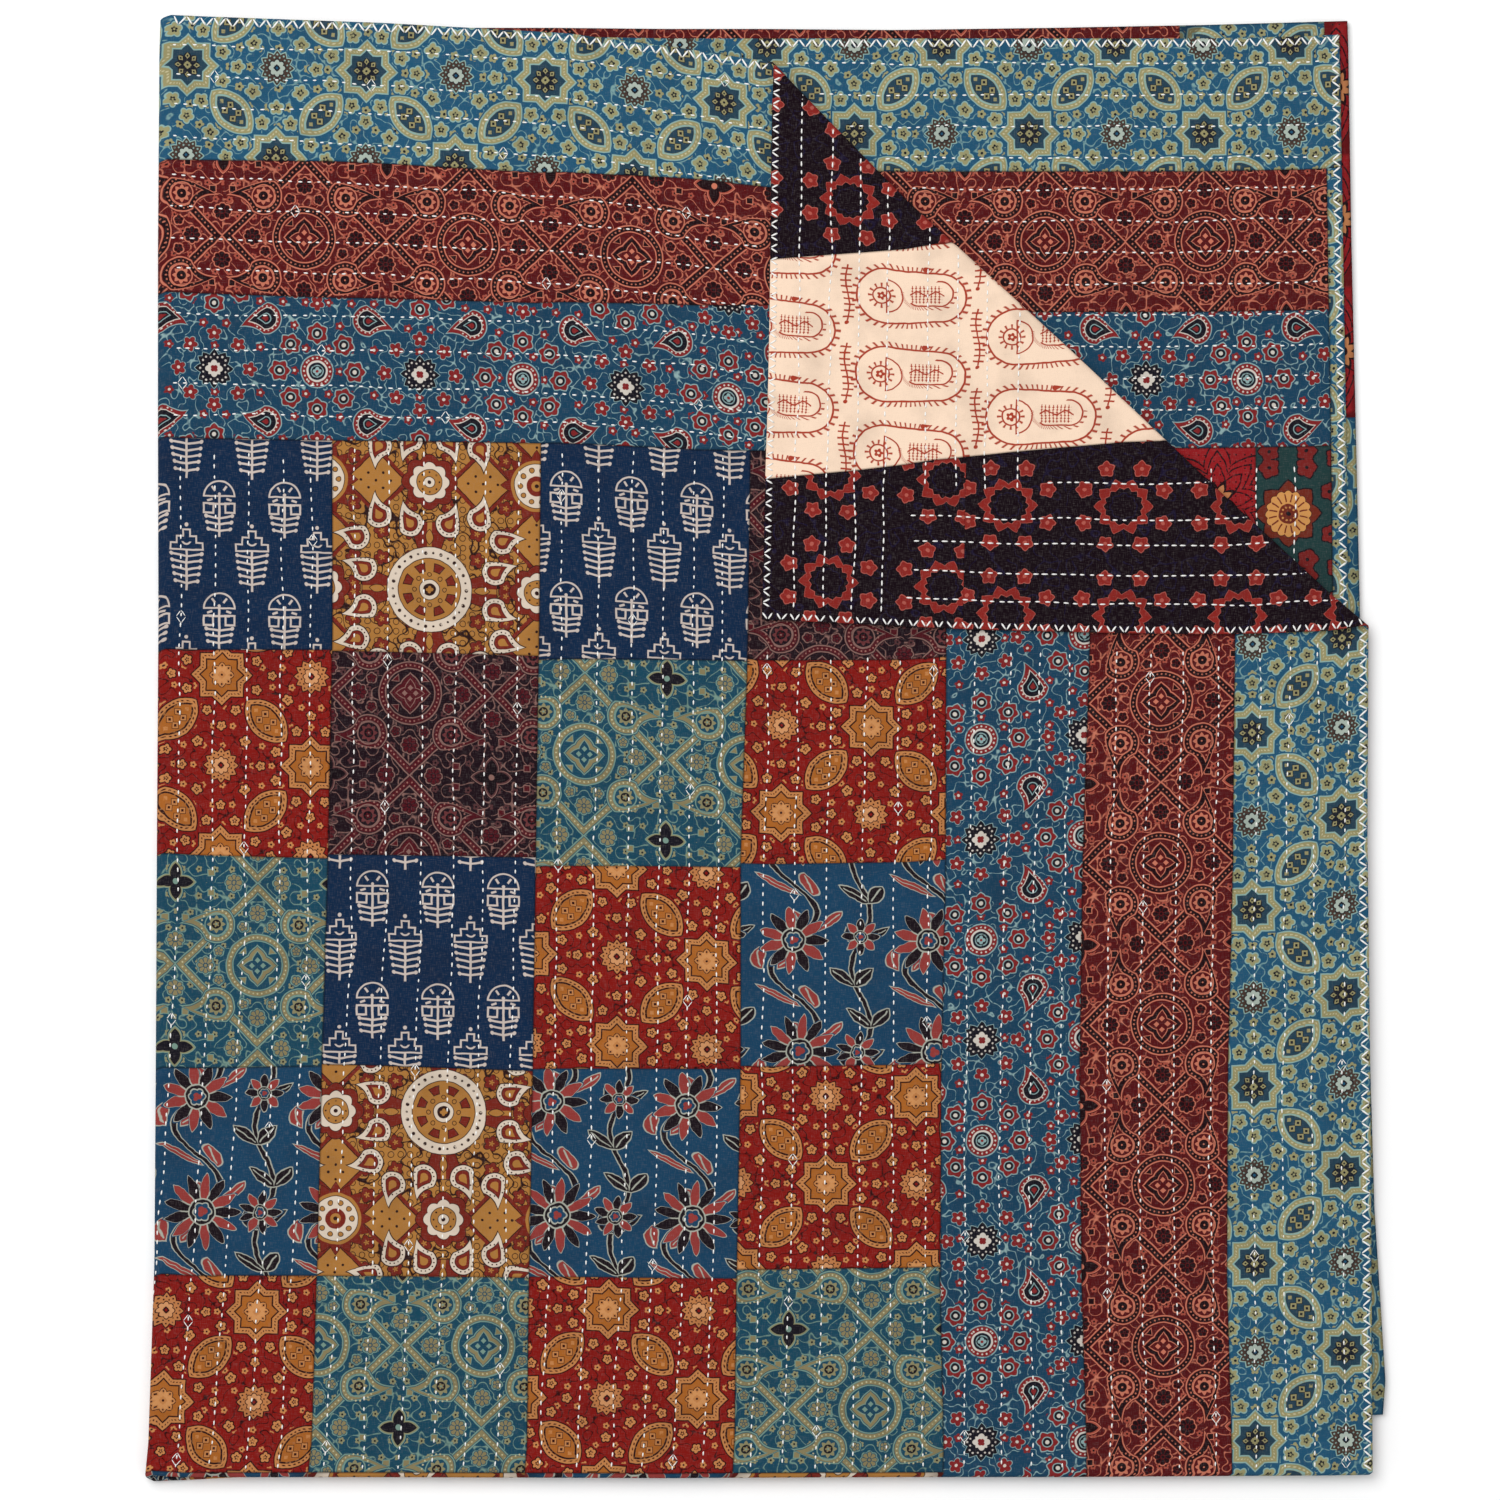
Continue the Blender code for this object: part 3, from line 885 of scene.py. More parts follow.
def scrolls(draw, x, y, scale, half, seed):
    """Fine curling stems, as the level lines of a slow unevenness."""
    place = draw.nodes.new("ShaderNodeCombineXYZ")
    draw.links.new(x.socket, place.inputs[0])
    draw.links.new(y.socket, place.inputs[1])
    place.inputs[2].default_value = seed
    level = Field(draw, draw.noise(place.outputs[0], scale, 0.0).outputs["Fac"])
    return abs(level - 0.5) - half


# The prints. Sizes and places are in millimetres, from the middle of each print's repeat.


def medallion(draw, inks):
    """Round medallions in a diamond lattice of dotted bands, with paisleys and small flowers."""
    x, y = draw.place(0.9)
    pitch = 155.0
    x, y = wrapped(x, pitch), wrapped(y, pitch)
    ax, ay = abs(x), abs(y)
    draw.paint(inside(scrolls(draw, x, y, 0.085, 0.018, 1.0), 0.03), inks.line, worn=True)
    small_flowers(draw, ax - 9.0, ay - 3.0, 15.5, 3.3, inks.bloom, inks.star)

    across = (ax + ay) * HALF_ROOT - 51.5
    along = (ax - ay) * HALF_ROOT
    draw.fill(abs(across) - 4.6, draw.ground)
    draw.stroke(abs(across) - 3.6, 0.62, inks.line, worn=False)
    draw.fill(abs(across) - 2.4, inks.band)
    draw.fill(dots_along(along, across, 4.4, 0.85), inks.dots, worn=True)

    low, high = least(ax, ay), most(ax, ay)
    flowers = ((0.0, 49.0, 8.6, 8), (22.5, 77.0, 8.4, 8), (13.5, 36.5, 5.2, 5))
    for at_low, at_high, size, petals in flowers:
        radius, angle = draw.wheel(low - at_low, high - at_high)
        flower = scallops(radius, angle, petals, size, size * 0.16)
        draw.fill(flower - 1.2, draw.ground)
        draw.stroke(flower, 0.55, inks.line)
        gap = bounced(angle * (petals / 2) + PI / 2, PI / 2) - 0.3
        ring = inside(most(flower + 1.2, 0.27 * size - radius))
        draw.paint(ring * inside(-gap, 0.3), inks.band)
        draw.fill(radius - size * 0.16, inks.band)
    for at_low, at_high, half in ((44.0, 68.0, 2.4), (62.0, 77.0, 2.2)):
        box = most(abs(low - at_low), abs(high - at_high)) - half
        draw.fills(box, (1.0, inks.line), (0.2, inks.band))

    radius, angle = draw.wheel(low - 77.5, high - 77.5)
    spikes = pointed_star(radius, angle, 4, 19.0, 8.5)
    draw.fills(spikes, (2.2, draw.ground), (0.8, inks.line), (-0.2, inks.bloom), (-2.0, inks.star))
    draw.fill(radius - 2.8, inks.line)

    px, py = ax - 39.0, ay - 38.5
    radius, angle = draw.wheel(px, py)
    drop = teardrop(px, py, 17.0, 27.0, 0.62, 0.026)
    draw.fill(drop - 1.6, draw.ground)
    draw.stroke(drop - 0.2, 0.6, inks.line, worn=False)
    draw.fill(abs(drop + 3.0) - 2.0, inks.band)
    draw.stroke(drop + 5.6, 0.5, inks.line)
    draw.fill(dots_round(radius, angle, 14.0, 22, 0.85), inks.dots, worn=True)
    draw.stroke(radius - 10.4, 0.55, inks.line, worn=False)
    draw.fill(pointed_star(radius, angle, 8, 8.6, 5.6), inks.flower)
    draw.fill(radius - 4.4, inks.star)
    draw.fill(pointed_star(radius, angle, 5, 3.2, 1.7), inks.band)
    draw.fill(radius - 0.8, inks.line)

    radius, angle = draw.wheel(x, y)
    draw.fill(radius - 30.6, draw.ground)
    draw.stroke(radius - 29.4, 0.62, inks.line, worn=False)
    draw.fill(abs(radius - 26.4) - 2.2, inks.band)
    draw.fill(dots_round(radius, angle, 26.4, 40, 0.85), inks.dots, worn=True)
    draw.stroke(radius - 23.2, 0.55, inks.line, worn=False)
    corner = (ax + ay) * HALF_ROOT
    spot = most(abs(along) - (corner - 15.5) * 0.8, corner - 20.0)
    draw.fills(spot, (0.7, inks.line), (0.0, inks.band))
    lobe = draw.maths("POWER", bounced(angle, PI / 4) * (4 / PI), 0.65)
    foil = draw.maths("MULTIPLY_ADD", lobe, 6.8, radius - 19.4)
    draw.stroke(foil, 0.6, inks.line, worn=False)
    draw.fill(foil + 1.3, inks.band)
    draw.stroke(foil + 5.6, 0.5, inks.line, worn=False)
    draw.fill(foil + 6.2, inks.heart)
    draw.fill(least(abs(ax - 5.2) + ay, abs(ay - 5.2) + ax) - 2.7, inks.line)


def star_and_almond(draw, inks):
    """Eight-pointed stars, round rosettes and slanting almonds, with small flowers between."""
    x, y = draw.place(0.9)
    pitch = 84.8
    px, py, along, aside = chequered(x, y, pitch)
    draw.paint(inside(scrolls(draw, x, y, 0.1, 0.022, 2.0), 0.03), inks.line, worn=True)
    small_flowers(draw, x, y, 18.5, 4.4 * inks.share, inks.bloom, inks.dark)

    low, high = least(abs(px), abs(py)), most(abs(px), abs(py))
    beside = abs(px - pitch)
    flowers = (
        (high - 33.0, low - 13.5, 7.6), (high - 47.5, low, 7.2),
        (beside - 22.5, abs(py) - 22.5, 8.0), (beside - 1.0, abs(py) - 31.0, 6.2),
    )
    for fx, fy, size in flowers:
        size *= inks.share
        radius, angle = draw.wheel(fx, fy)
        bloom = scallops(radius, angle, 5, size, size * 0.3)
        draw.fills(bloom, (2.0, draw.ground), (0.5, inks.edge), (-0.8, inks.bloom))
        draw.fill(scallops(radius, angle, 5, size * 0.42, 1.4), inks.dark, worn=True)
        draw.fill(radius - size * 0.14, inks.bloom)

    star = square_star(px, py, 20.6)
    radius, angle = draw.wheel(px, py)
    draw.fills(star, (2.2, draw.ground), (0.7, inks.edge), (-0.5, inks.band))
    ticks = inside(bounced(angle * 26.0, PI / 2) - 0.75, 0.6)
    draw.paint(inside(abs(star + 2.9) - 0.6) * ticks, inks.dots, worn=True)
    draw.fills(star, (-5.4, inks.edge), (-6.7, inks.core))
    petals = scallops(radius, angle, 8, 11.0, 2.6)
    draw.fills(petals, (1.0, inks.dark), (0.0, inks.heart))
    gem = bounced(angle, PI / 8) * 11.2 + abs(radius - 8.8) - 3.0
    draw.fills(gem, (0.0, inks.band), (-1.7, inks.dark))
    draw.fill(scallops(radius, angle, 6, 3.8, 1.0), inks.band)
    draw.fill(radius - 1.1, inks.dark)

    radius, angle = draw.wheel(px - pitch, py)
    rose = pointed_star(radius, angle, 12, 17.0, 13.2)
    draw.fills(rose, (1.6, draw.ground), (0.5, inks.edge), (-0.9, inks.rose))
    draw.fill(dots_round(radius, angle, 12.6, 12, 0.9), inks.edge, worn=True)
    draw.fill(dots_round(radius, angle + PI / 12, 10.0, 12, 0.8), inks.edge, worn=True)
    petals = scallops(radius, angle, 8, 7.8, 1.8)
    draw.fills(petals, (1.0, inks.dark), (0.0, inks.pale))
    draw.fill(scallops(radius, angle, 6, 3.4, 0.8), inks.dark)
    draw.fill(radius - 1.3, draw.ground)

    eye = almond(along, aside, 26.5, 16.0)
    draw.fills(eye, (2.2, draw.ground), (0.9, inks.edge), (-0.2, inks.band))
    ticks = inside(bounced(along, 2.0) - 1.0, 0.8)
    draw.paint(inside(abs(eye + 2.6) - 0.7) * ticks, inks.dots, worn=True)
    draw.stroke(eye + 5.2, 0.9, inks.edge)
    draw.fill(eye + 6.2, inks.core)
    gem = abs(abs(along) - 5.4) + abs(abs(aside) - 3.8) - 3.8
    draw.fill(most(gem - 0.8, eye + 5.4), inks.dark)
    draw.fill(most(gem, eye + 5.8), inks.band)
    draw.fill(gem + 2.1, inks.dark)
    draw.fill(abs(abs(along) - 13.6) + abs(aside) - 2.4, inks.band, worn=True)


def blue_paisley(draw, inks):
    """Dotted rings with eight small flowers round them, dark stars, and paisleys between."""
    x, y = draw.place(0.9)
    pitch = 97.3
    px, py, along, aside = chequered(x, y, pitch)
    draw.paint(inside(scrolls(draw, x, y, 0.11, 0.02, 3.0), 0.028), inks.edge, worn=True)
    small_flowers(draw, x, y, 21.5, 4.4, inks.red, inks.pale)
    low, high = least(abs(px), abs(py)), most(abs(px), abs(py))
    for fx, fy in ((high - 35.5, low), ((high + low) * HALF_ROOT - 35.5, (high - low) * HALF_ROOT)):
        radius, angle = draw.wheel(fx, fy)
        rose = pointed_star(radius, angle, 6, 10.6, 8.0)
        draw.fills(rose, (2.2, draw.ground), (0.7, inks.edge), (-0.4, inks.red))
        draw.fills(radius, (5.2, inks.edge), (4.3, inks.dark), (2.0, inks.pale))
    sx = px - pitch
    low, high = least(abs(sx), abs(py)), most(abs(sx), abs(py))
    for fx, fy in ((high - 33.5, low), ((high + low) * HALF_ROOT - 32.0, (high - low) * HALF_ROOT)):
        radius, angle = draw.wheel(fx, fy)
        bloom = scallops(radius, angle, 5, 7.6, 2.8)
        draw.fill(bloom - 1.6, draw.ground)
        draw.fill(bloom - 0.3, inks.edge, worn=True)
        draw.fill(bloom + 0.5, inks.red)
        draw.fill(radius - 1.5, inks.pale)

    radius, angle = draw.wheel(px, py)
    draw.fill(radius - 17.4, draw.ground)
    draw.stroke(radius - 15.4, 0.6, inks.edge)
    draw.fill(abs(radius - 12.4) - 2.3, inks.red)
    draw.fill(dots_round(radius, angle, 12.4, 18, 0.9), inks.pale, worn=True)
    draw.fill(abs(radius - 9.2) - 0.9, inks.pale)
    draw.fill(radius - 8.0, inks.dark)
    draw.stroke(radius - 5.6, 0.5, inks.edge)
    draw.fill(scallops(radius, angle, 4, 4.2, 1.6), inks.edge)
    draw.fill(radius - 1.4, inks.red)

    radius, angle = draw.wheel(sx, py)
    rose = pointed_star(radius, angle, 10, 18.4, 13.4)
    draw.fills(rose, (2.0, draw.ground), (0.8, inks.edge), (0.0, inks.dark))
    draw.fill(dots_round(radius, angle, 13.2, 10, 1.0), inks.pale, worn=True)
    draw.fill(dots_round(radius, angle + PI / 10, 10.8, 10, 0.9), inks.pale, worn=True)
    draw.fill(scallops(radius, angle, 6, 8.2, 2.2), inks.pale)
    draw.fill(scallops(radius, angle, 5, 3.6, 1.0), inks.red)

    drop = teardrop(aside, along, 14.6, 22.5, 0.9, 0.022)
    radius, angle = draw.wheel(aside, along)
    draw.fills(drop, (1.9, draw.ground), (0.6, inks.edge), (-0.3, inks.red))
    draw.fill(dots_round(radius, angle, 11.4, 18, 0.8), inks.pale, worn=True)
    draw.fills(
        drop,
        (-4.0, inks.pale), (-4.9, inks.dark), (-9.4, inks.edge), (-10.3, inks.dark), (-12.0, inks.red),
    )


def club_leaves(draw, x, y, rows):
    """Pairs of leaves on a stem that runs down from the origin, the highest pair first."""
    leaves = None
    for below, half in rows:
        rise = draw.maths("MULTIPLY_ADD", x, -0.18, y + below)
        leaf = most(abs(rise) - 1.0, x - half)
        leaf = least(leaf, length(x - half, rise) - 1.8)
        leaves = leaf if leaves is None else least(leaves, leaf)
    return leaves


def trees(draw, inks):
    """Two kinds of small tree in cream on indigo, in rows that fit between each other."""
    x, y = draw.place(0.8)
    wide, tall = 61.8, 105.5
    tx, ty = abs(wrapped(x, wide)), wrapped(y + 27.0, tall) - 27.0
    radius, angle = draw.wheel(tx, ty + 15.2)
    moon = most(radius - 15.2, -ty - 15.2)
    draw.stroke(moon + 0.6, 0.8, inks.line, worn=False)
    rays = inside(bounced(angle + PI / 10, PI / 5) * radius - 1.0)
    draw.paint(rays * inside(abs(radius - 9.5) - 2.6), inks.line)
    draw.fill(length(tx, ty + 12.6) - 1.5, inks.line)
    boxes = most(abs(tx - 10.2), abs(ty + 26.0)) - 4.4
    draw.stroke(boxes, 0.9, inks.line, worn=False)
    draw.fill(most(abs(ty + 22.0) - 1.0, tx - 10.0), inks.line)
    draw.fill(most(tx - 1.05, abs(ty + 34.0) - 19.0), inks.line)
    rows = ((35.7, 12.4), (41.3, 11.4), (47.5, 10.5))
    draw.fill(club_leaves(draw, tx, ty, rows), inks.line)

    tx, ty = abs(wrapped(x - wide / 2, wide)), wrapped(y + 74.0, tall) - 27.0
    draw.fill(length(tx, ty - 4.6) - 1.8, inks.line)
    draw.stroke(stepped_top(tx, ty), 0.8, inks.line, worn=False)
    draw.fill(most(abs(length(tx, ty + 9.4) - 4.2) - 0.8, ty + 11.4), inks.line)
    draw.fill(most(tx - 1.05, abs(ty + 38.0) - 19.0), inks.line)
    rows = ((25.2, 14.2), (31.4, 13.4), (37.5, 12.4), (43.7, 11.4), (50.3, 10.4))
    draw.fill(club_leaves(draw, tx, ty, rows), inks.line)


def white_paisley(draw, x, y, angle, inks):
    """A paisley with a dotted white band, pale inside with a dark drop."""
    drop = teardrop(x, y, 12.0, 19.5, angle, 0.024)
    draw.fills(drop, (1.0, inks.dark), (0.0, inks.white))
    radius, turn = draw.wheel(x, y)
    draw.fill(dots_round(radius, turn, 9.6, 15, 0.75), inks.dark, worn=True)
    draw.fills(drop, (-4.2, inks.dark), (-4.9, inks.rust), (-8.0, draw.ground))


def small_flowers(draw, x, y, pitch, size, petal, centre):
    """A lattice of five-petalled flowers, every second row moved on by half."""
    rise = wrapped(y, 2 * pitch)
    for shift, start in ((0.0, 0.0), (pitch / 2, pitch)):
        fx, fy = wrapped(x - shift, pitch), wrapped(rise - start, 2 * pitch)
        radius, angle = draw.wheel(fx, fy)
        bloom = scallops(radius, angle, 5, size, size * 0.34)
        draw.fill(bloom, petal)
        draw.fill(radius - size * 0.3, centre)


def stepped_top(tx, ty):
    """Three stacked boxes, each wider than the one above it, that stand on one base."""
    steps = None
    for half, top in ((3.4, 0.0), (9.2, 6.2), (15.2, 12.6)):
        middle, tall = (top + 18.8) / 2, (18.8 - top) / 2
        box = most(tx - half, abs(ty + middle) - tall)
        steps = box if steps is None else least(steps, box)
    return steps


def ochre_fields(draw, inks):
    """A dotted white ring and white paisleys, round flowers, a sun wheel and dotted fields."""
    x, y = draw.place(0.9)
    half = 101.5
    x, y = wrapped(x, 2 * half), wrapped(y, 2 * half)
    ax, ay = abs(x), abs(y)
    low, high = least(ax, ay), most(ax, ay)
    spots = length(bounced(ax, 9.0) - 4.5, bounced(ay, 9.0) - 4.5)
    draw.fills(spots, (3.1, inks.dark), (2.4, draw.ground))
    draw.paint(inside(scrolls(draw, x, y, 0.08, 0.03, 4.0), 0.02), inks.dark)
    leaf_x, leaf_y = wrapped(ax + 9.0, 27.0), wrapped(ay - 4.0, 25.0)
    leaf = scallops(*draw.wheel(leaf_x, leaf_y), 5, 7.2, 2.6)
    draw.fills(leaf, (0.8, inks.dark), (0.0, inks.rust), (-4.4, draw.ground))

    arm = most(abs(high - 51.0) - 12.5, low - 15.0 + abs(high - 51.0) * 0.35)
    draw.fills(arm, (0.8, inks.dark), (0.0, inks.rust))
    draw.fill(most(arm, low - 2.2), draw.ground)
    bud = almond(high - 49.5, low, 7.0, 3.2)
    draw.fills(bud, (0.7, inks.dark), (0.0, draw.ground))

    field = (abs(high - half) + abs(low - half / 2)) * HALF_ROOT - 19.5
    draw.fills(field, (4.2, inks.rust), (0.9, inks.dark), (0.0, draw.ground))
    dots = length(wrapped(high - half, 14.0), wrapped(low - half / 2, 14.0))
    between = length(wrapped(high - half + 7.0, 14.0), wrapped(low - half / 2 + 7.0, 14.0))
    draw.paint(inside(least(dots, between) - 1.3) * inside(field + 2.5), inks.dark)

    white_paisley(draw, high - 62.0, low - 18.5, 0.75, inks)
    white_paisley(draw, high - 69.0, low - 48.0, 0.6, inks)

    radius, angle = draw.wheel(high - half, low)
    bloom = scallops(radius, angle, 8, 26.0, 4.4)
    draw.fills(bloom, (0.8, inks.dark), (0.0, inks.rust))
    draw.fills(scallops(radius, angle, 8, 18.8, 3.2), (0.7, inks.dark), (0.0, inks.white))
    draw.fills(radius, (12.4, inks.dark), (11.7, draw.ground))
    draw.fill(dots_round(radius, angle, 9.4, 8, 0.9), inks.dark, worn=True)
    draw.fills(radius, (5.6, inks.dark), (4.9, inks.white), (1.9, inks.dark))

    radius, angle = draw.wheel(ax - half, ay - half)
    feathers = pointed_star(radius, angle, 16, 34.0, 26.0)
    draw.fills(feathers, (0.7, inks.dark), (0.0, inks.rust))
    draw.fills(radius, (24.4, draw.ground), (21.5, inks.dark), (20.8, inks.white))
    draw.fill(dots_round(radius, angle, 15.4, 10, 2.7), inks.dark)
    draw.fill(dots_round(radius, angle, 15.4, 10, 2.0), draw.ground)
    draw.fills(radius, (9.6, inks.rust), (5.0, draw.ground), (2.0, inks.dark))

    radius, angle = draw.wheel(x, y)
    draw.fills(radius, (40.6, inks.dark), (39.8, inks.white))
    draw.fill(dots_round(radius, angle, 34.8, 15, 1.7), inks.dark, worn=True)
    draw.fill(dots_round(radius, angle + PI / 15, 34.8, 15, 1.1), inks.dark, worn=True)
    draw.fills(radius, (30.0, inks.dark), (29.2, draw.ground))
    side = bounced(angle, PI / 8)
    across = abs(side - PI / 8) * radius - 3.6 - (radius - 21.4) * 0.3
    tulip = most(abs(radius - 21.4) - 3.4, across)
    draw.fills(tulip, (0.8, inks.dark), (0.0, inks.rust))
    draw.fill(dots_round(radius, angle, 14.2, 8, 2.3), inks.dark)
    draw.fill(dots_round(radius, angle, 14.2, 8, 1.6), draw.ground)
    draw.fills(radius, (9.9, inks.dark), (9.2, inks.white), (6.0, inks.dark))
    draw.fill(scallops(radius, angle, 4, 3.6, 1.4), draw.ground)


def vine(draw, inks):
    """Swaying stems with leaves, and large many-petalled flowers beside smaller ones."""
    x, y = draw.place(2.0)
    wide, tall = 127.0, 216.0
    sway = draw.maths("SINE", y * (4 * PI / tall))
    Stem = namedtuple("Stem", "start reach half pitch first off tilt ink")
    stems = (
        Stem(wide / 2, 9.0, 1.9, 40.0, 5.0, 10.0, 0.7, inks.dark),
        Stem(0.0, 22.0, 2.3, 36.0, 18.0, 15.0, 0.9, inks.rust),
    )
    for start, reach, half, pitch, first, off, tilt, ink in stems:
        stem = abs(wrapped(x - start - sway * reach, wide))
        draw.fill(stem - half - 1.1, inks.pale)
        draw.fill(stem - half, inks.dark)
        along, aside = turned(stem - off, wrapped(y - first, pitch), tilt)
        leaf = almond(along, aside, 13.0, 5.2)
        draw.fill(leaf - 1.0, inks.pale)
        draw.fill(leaf, ink)
        draw.fill(most(leaf + 1.6, abs(aside) - 0.6), inks.pale)

    flowers = (
        (0.0, 0.0, 31.0, 11), (5.0, tall / 2, 34.0, 13),
        (wide / 2, 4.0, 17.0, 8), (wide / 2 - 4.0, tall / 2, 19.0, 9),
    )
    for at_x, at_y, size, petals in flowers:
        radius, angle = draw.wheel(wrapped(x - at_x, wide), wrapped(y - at_y, tall))
        from_middle = bounced(angle, PI / petals)
        tip = draw.maths("POWER", from_middle * (petals / PI), 1.35)
        bloom = draw.maths("MULTIPLY_ADD", tip, size * 0.5, radius - size * 1.05)
        draw.fills(bloom, (2.4, draw.ground), (0.9, inks.pale), (0.0, inks.rust))
        other = inside(bounced(angle, 2 * PI / petals) - PI / petals, 0.04)
        draw.paint(other * inside(bloom), inks.dark)
        between = (PI / petals - from_middle) * radius
        draw.paint(inside(between - 0.6) * inside(bloom), inks.pale)
        draw.fill(radius - size * 0.38, inks.pale)
        draw.fill(radius - size * 0.34, inks.dark)
        middle = ((6, 0.28, 0.05, inks.pale), (6, 0.24, 0.05, draw.ground), (3, 0.14, 0.06, inks.rust))
        for lobes, reach, depth, ink in middle:
            draw.fill(scallops(radius, angle, lobes, size * reach, size * depth), ink)


def black_red(draw, inks):
    """Zigzag star rings in a square lattice, with pairs of small pentagons between."""
    x, y = draw.place(1.8)
    pitch = 108.0
    x, y = wrapped(x, pitch), wrapped(y, pitch)
    ax, ay = abs(x), abs(y)
    low, high = least(ax, ay), most(ax, ay)
    draw.paint(inside(scrolls(draw, x, y, 0.07, 0.016, 6.0), 0.02), inks.shade)
    radius, angle = draw.wheel(high - 37.0, low - 16.5)
    gon = pointed_star(radius, angle, 5, 8.6, 6.2)
    draw.fills(gon, (0.0, inks.pink), (-0.9, inks.red))
    draw.fill(radius - 1.9, inks.pink)
    radius, angle = draw.wheel(x, y)
    ring = pointed_star(radius, angle, 10, 25.0, 18.5)
    draw.fill(ring - 3.2, inks.pink, worn=True)
    draw.fill(ring - 2.6, inks.red)
    teeth = pointed_star(radius, angle, 14, 19.5, 17.0)
    draw.fill(teeth, inks.pink, worn=True)
    draw.fill(teeth + 0.7, draw.ground)
    draw.stroke(scallops(radius, angle, 8, 13.0, 2.0), 0.6, inks.shade)


def held_between(a, low, high):
    """The coordinate, kept from going below one place and above another."""
    return a.drawing.maths("MINIMUM", a.drawing.maths("MAXIMUM", a, low), high)


def paisley_in_lines(draw, px, py, line):
    """A paisley with a fringed outline, a curled tail and scales, and a small sun at its head."""
    held = held_between(px, -24.0, 26.0)
    body = length(px - held, py) - 26.5 + held * 0.07
    ticks = inside(bounced(draw.wheel(px, py)[1] * 22.0, PI / 2) - 0.5, 0.5)
    draw.paint(inside(abs(body - 3.2) - 2.3) * ticks, line)
    draw.stroke(body, 0.95, line, worn=False)
    tail = length(px - held_between(px, 6.0, 26.0), py - 4.0) - 12.5
    draw.paint(inside(abs(tail) - 0.8) * inside(py - px * 0.9 + 4.0), line)
    draw.paint(inside(abs(tail - 2.6) - 1.6) * ticks * inside(py - 6.0), line)
    wave = abs(py - 4.0 - draw.maths("SINE", px * 0.35) * 2.0) - 0.8
    draw.fill(most(wave, abs(px - 14.0) - 16.0), line)
    scales = length(bounced(px, 3.6) - 1.8, bounced(py - 4.0, 2.8) - 1.4)
    belly = inside(most(abs(px - 13.0) - 15.0, abs(py - 3.0) - 9.0))
    draw.paint(inside(abs(scales - 1.9) - 0.45) * belly, line)
    neck = length(px + 26.0, py) - 17.0
    draw.stroke(most(neck, -px - 24.0), 0.7, line, worn=False)
    radius, angle = draw.wheel(px + 29.0, py)
    draw.stroke(radius - 8.2, 0.8, line, worn=False)
    rays = inside(bounced(angle * 6.0, PI / 2) - 0.5, 0.5)
    draw.paint(inside(abs(radius - 11.0) - 2.0) * rays, line)
    draw.fill(scallops(radius, angle, 5, 4.6, 1.8), line)
    draw.fill(radius - 1.2, draw.ground)
    draw.fill(teardrop(px - 12.0, py - 29.0, 2.6, 8.0, 0.25, 0.02), line)


def fringed_stem(draw, px, py, line):
    """A swaying stem with short hairs on both sides and a bud at its foot."""
    stem = px + 61.0 + draw.maths("SINE", py * 0.11) * 2.0
    reach = inside(abs(py) - 29.0)
    draw.paint(inside(abs(stem) - 0.8) * reach, line)
    hairs = inside(bounced(py, 3.1) - 0.9, 0.6)
    draw.paint(inside(abs(stem) - 5.2) * hairs * reach, line)
    draw.fill(length(stem, py + 31.0) - 2.0, line)


def cream_paisley(draw, inks):
    """Fringed paisleys in thin lines, with a stem between them, every second column moved on by half."""
    x, y = draw.place(1.1)
    wide, tall = 123.0, 80.6
    for shift_x, shift_y in ((0.0, 0.0), (wide, tall / 2)):
        px, py = wrapped(-x - shift_x, 2 * wide), wrapped(y - shift_y, tall)
        paisley_in_lines(draw, px, py, inks.line)
        fringed_stem(draw, px, py, inks.line)


def line_star(draw, inks):
    """A large star flower in dark lines on red."""
    x, y = draw.place(1.4)
    draw.fill(length(bounced(x, 7.5) - 3.0, bounced(y, 6.5) - 3.0) - 0.8, inks.line, worn=True)
    radius, angle = draw.wheel(x, y)
    for outer, inner in ((58.0, 34.0), (46.0, 26.0), (33.0, 18.0)):
        draw.stroke(pointed_star(radius, angle, 8, outer, inner), 1.3, inks.line)
    for outer, inner, ink in ((20.0, 11.0, inks.line), (15.0, 8.0, inks.pale)):
        draw.fill(pointed_star(radius, angle + PI / 8, 8, outer, inner), ink)
    draw.fill(radius - 5.0, inks.line)


def sunflower(draw, inks):
    """A sunflower on a dark star, with small pentagons round it."""
    x, y = draw.place(1.4)
    pitch_x, pitch_y = 95.0, 104.0
    x, y = wrapped(x, pitch_x), wrapped(y, pitch_y)
    for at_x, at_y, size in ((40.0, 20.0, 7.5), (18.0, 44.0, 8.5), (44.0, 50.0, 6.0)):
        radius, angle = draw.wheel(abs(x) - at_x, abs(y) - at_y)
        gon = pointed_star(radius, angle, 5, size * 1.2, size * 0.9)
        draw.fills(gon, (1.4, inks.dark), (0.0, inks.red))
        draw.fill(radius - 1.8, inks.dark)
    radius, angle = draw.wheel(x, y)
    draw.fill(pointed_star(radius, angle, 8, 33.0, 25.5), inks.dark)
    draw.fill(pointed_star(radius, angle, 8, 31.4, 24.0), inks.rust)
    draw.fills(scallops(radius, angle, 16, 22.0, 2.2), (0.6, inks.dark), (0.0, inks.gold))
    veins = inside(bounced(angle + PI / 16, PI / 16) * radius - 0.7)
    draw.paint(veins * inside(abs(radius - 15.0) - 4.0), inks.rust)
    draw.fill(radius - 9.5, inks.rust)
    draw.fill(dots_round(radius, angle, 6.4, 10, 1.0), inks.gold, worn=True)
    draw.fill(radius - 2.2, inks.dark)


MedallionInks = namedtuple("MedallionInks", "line band dots flower heart star bloom")
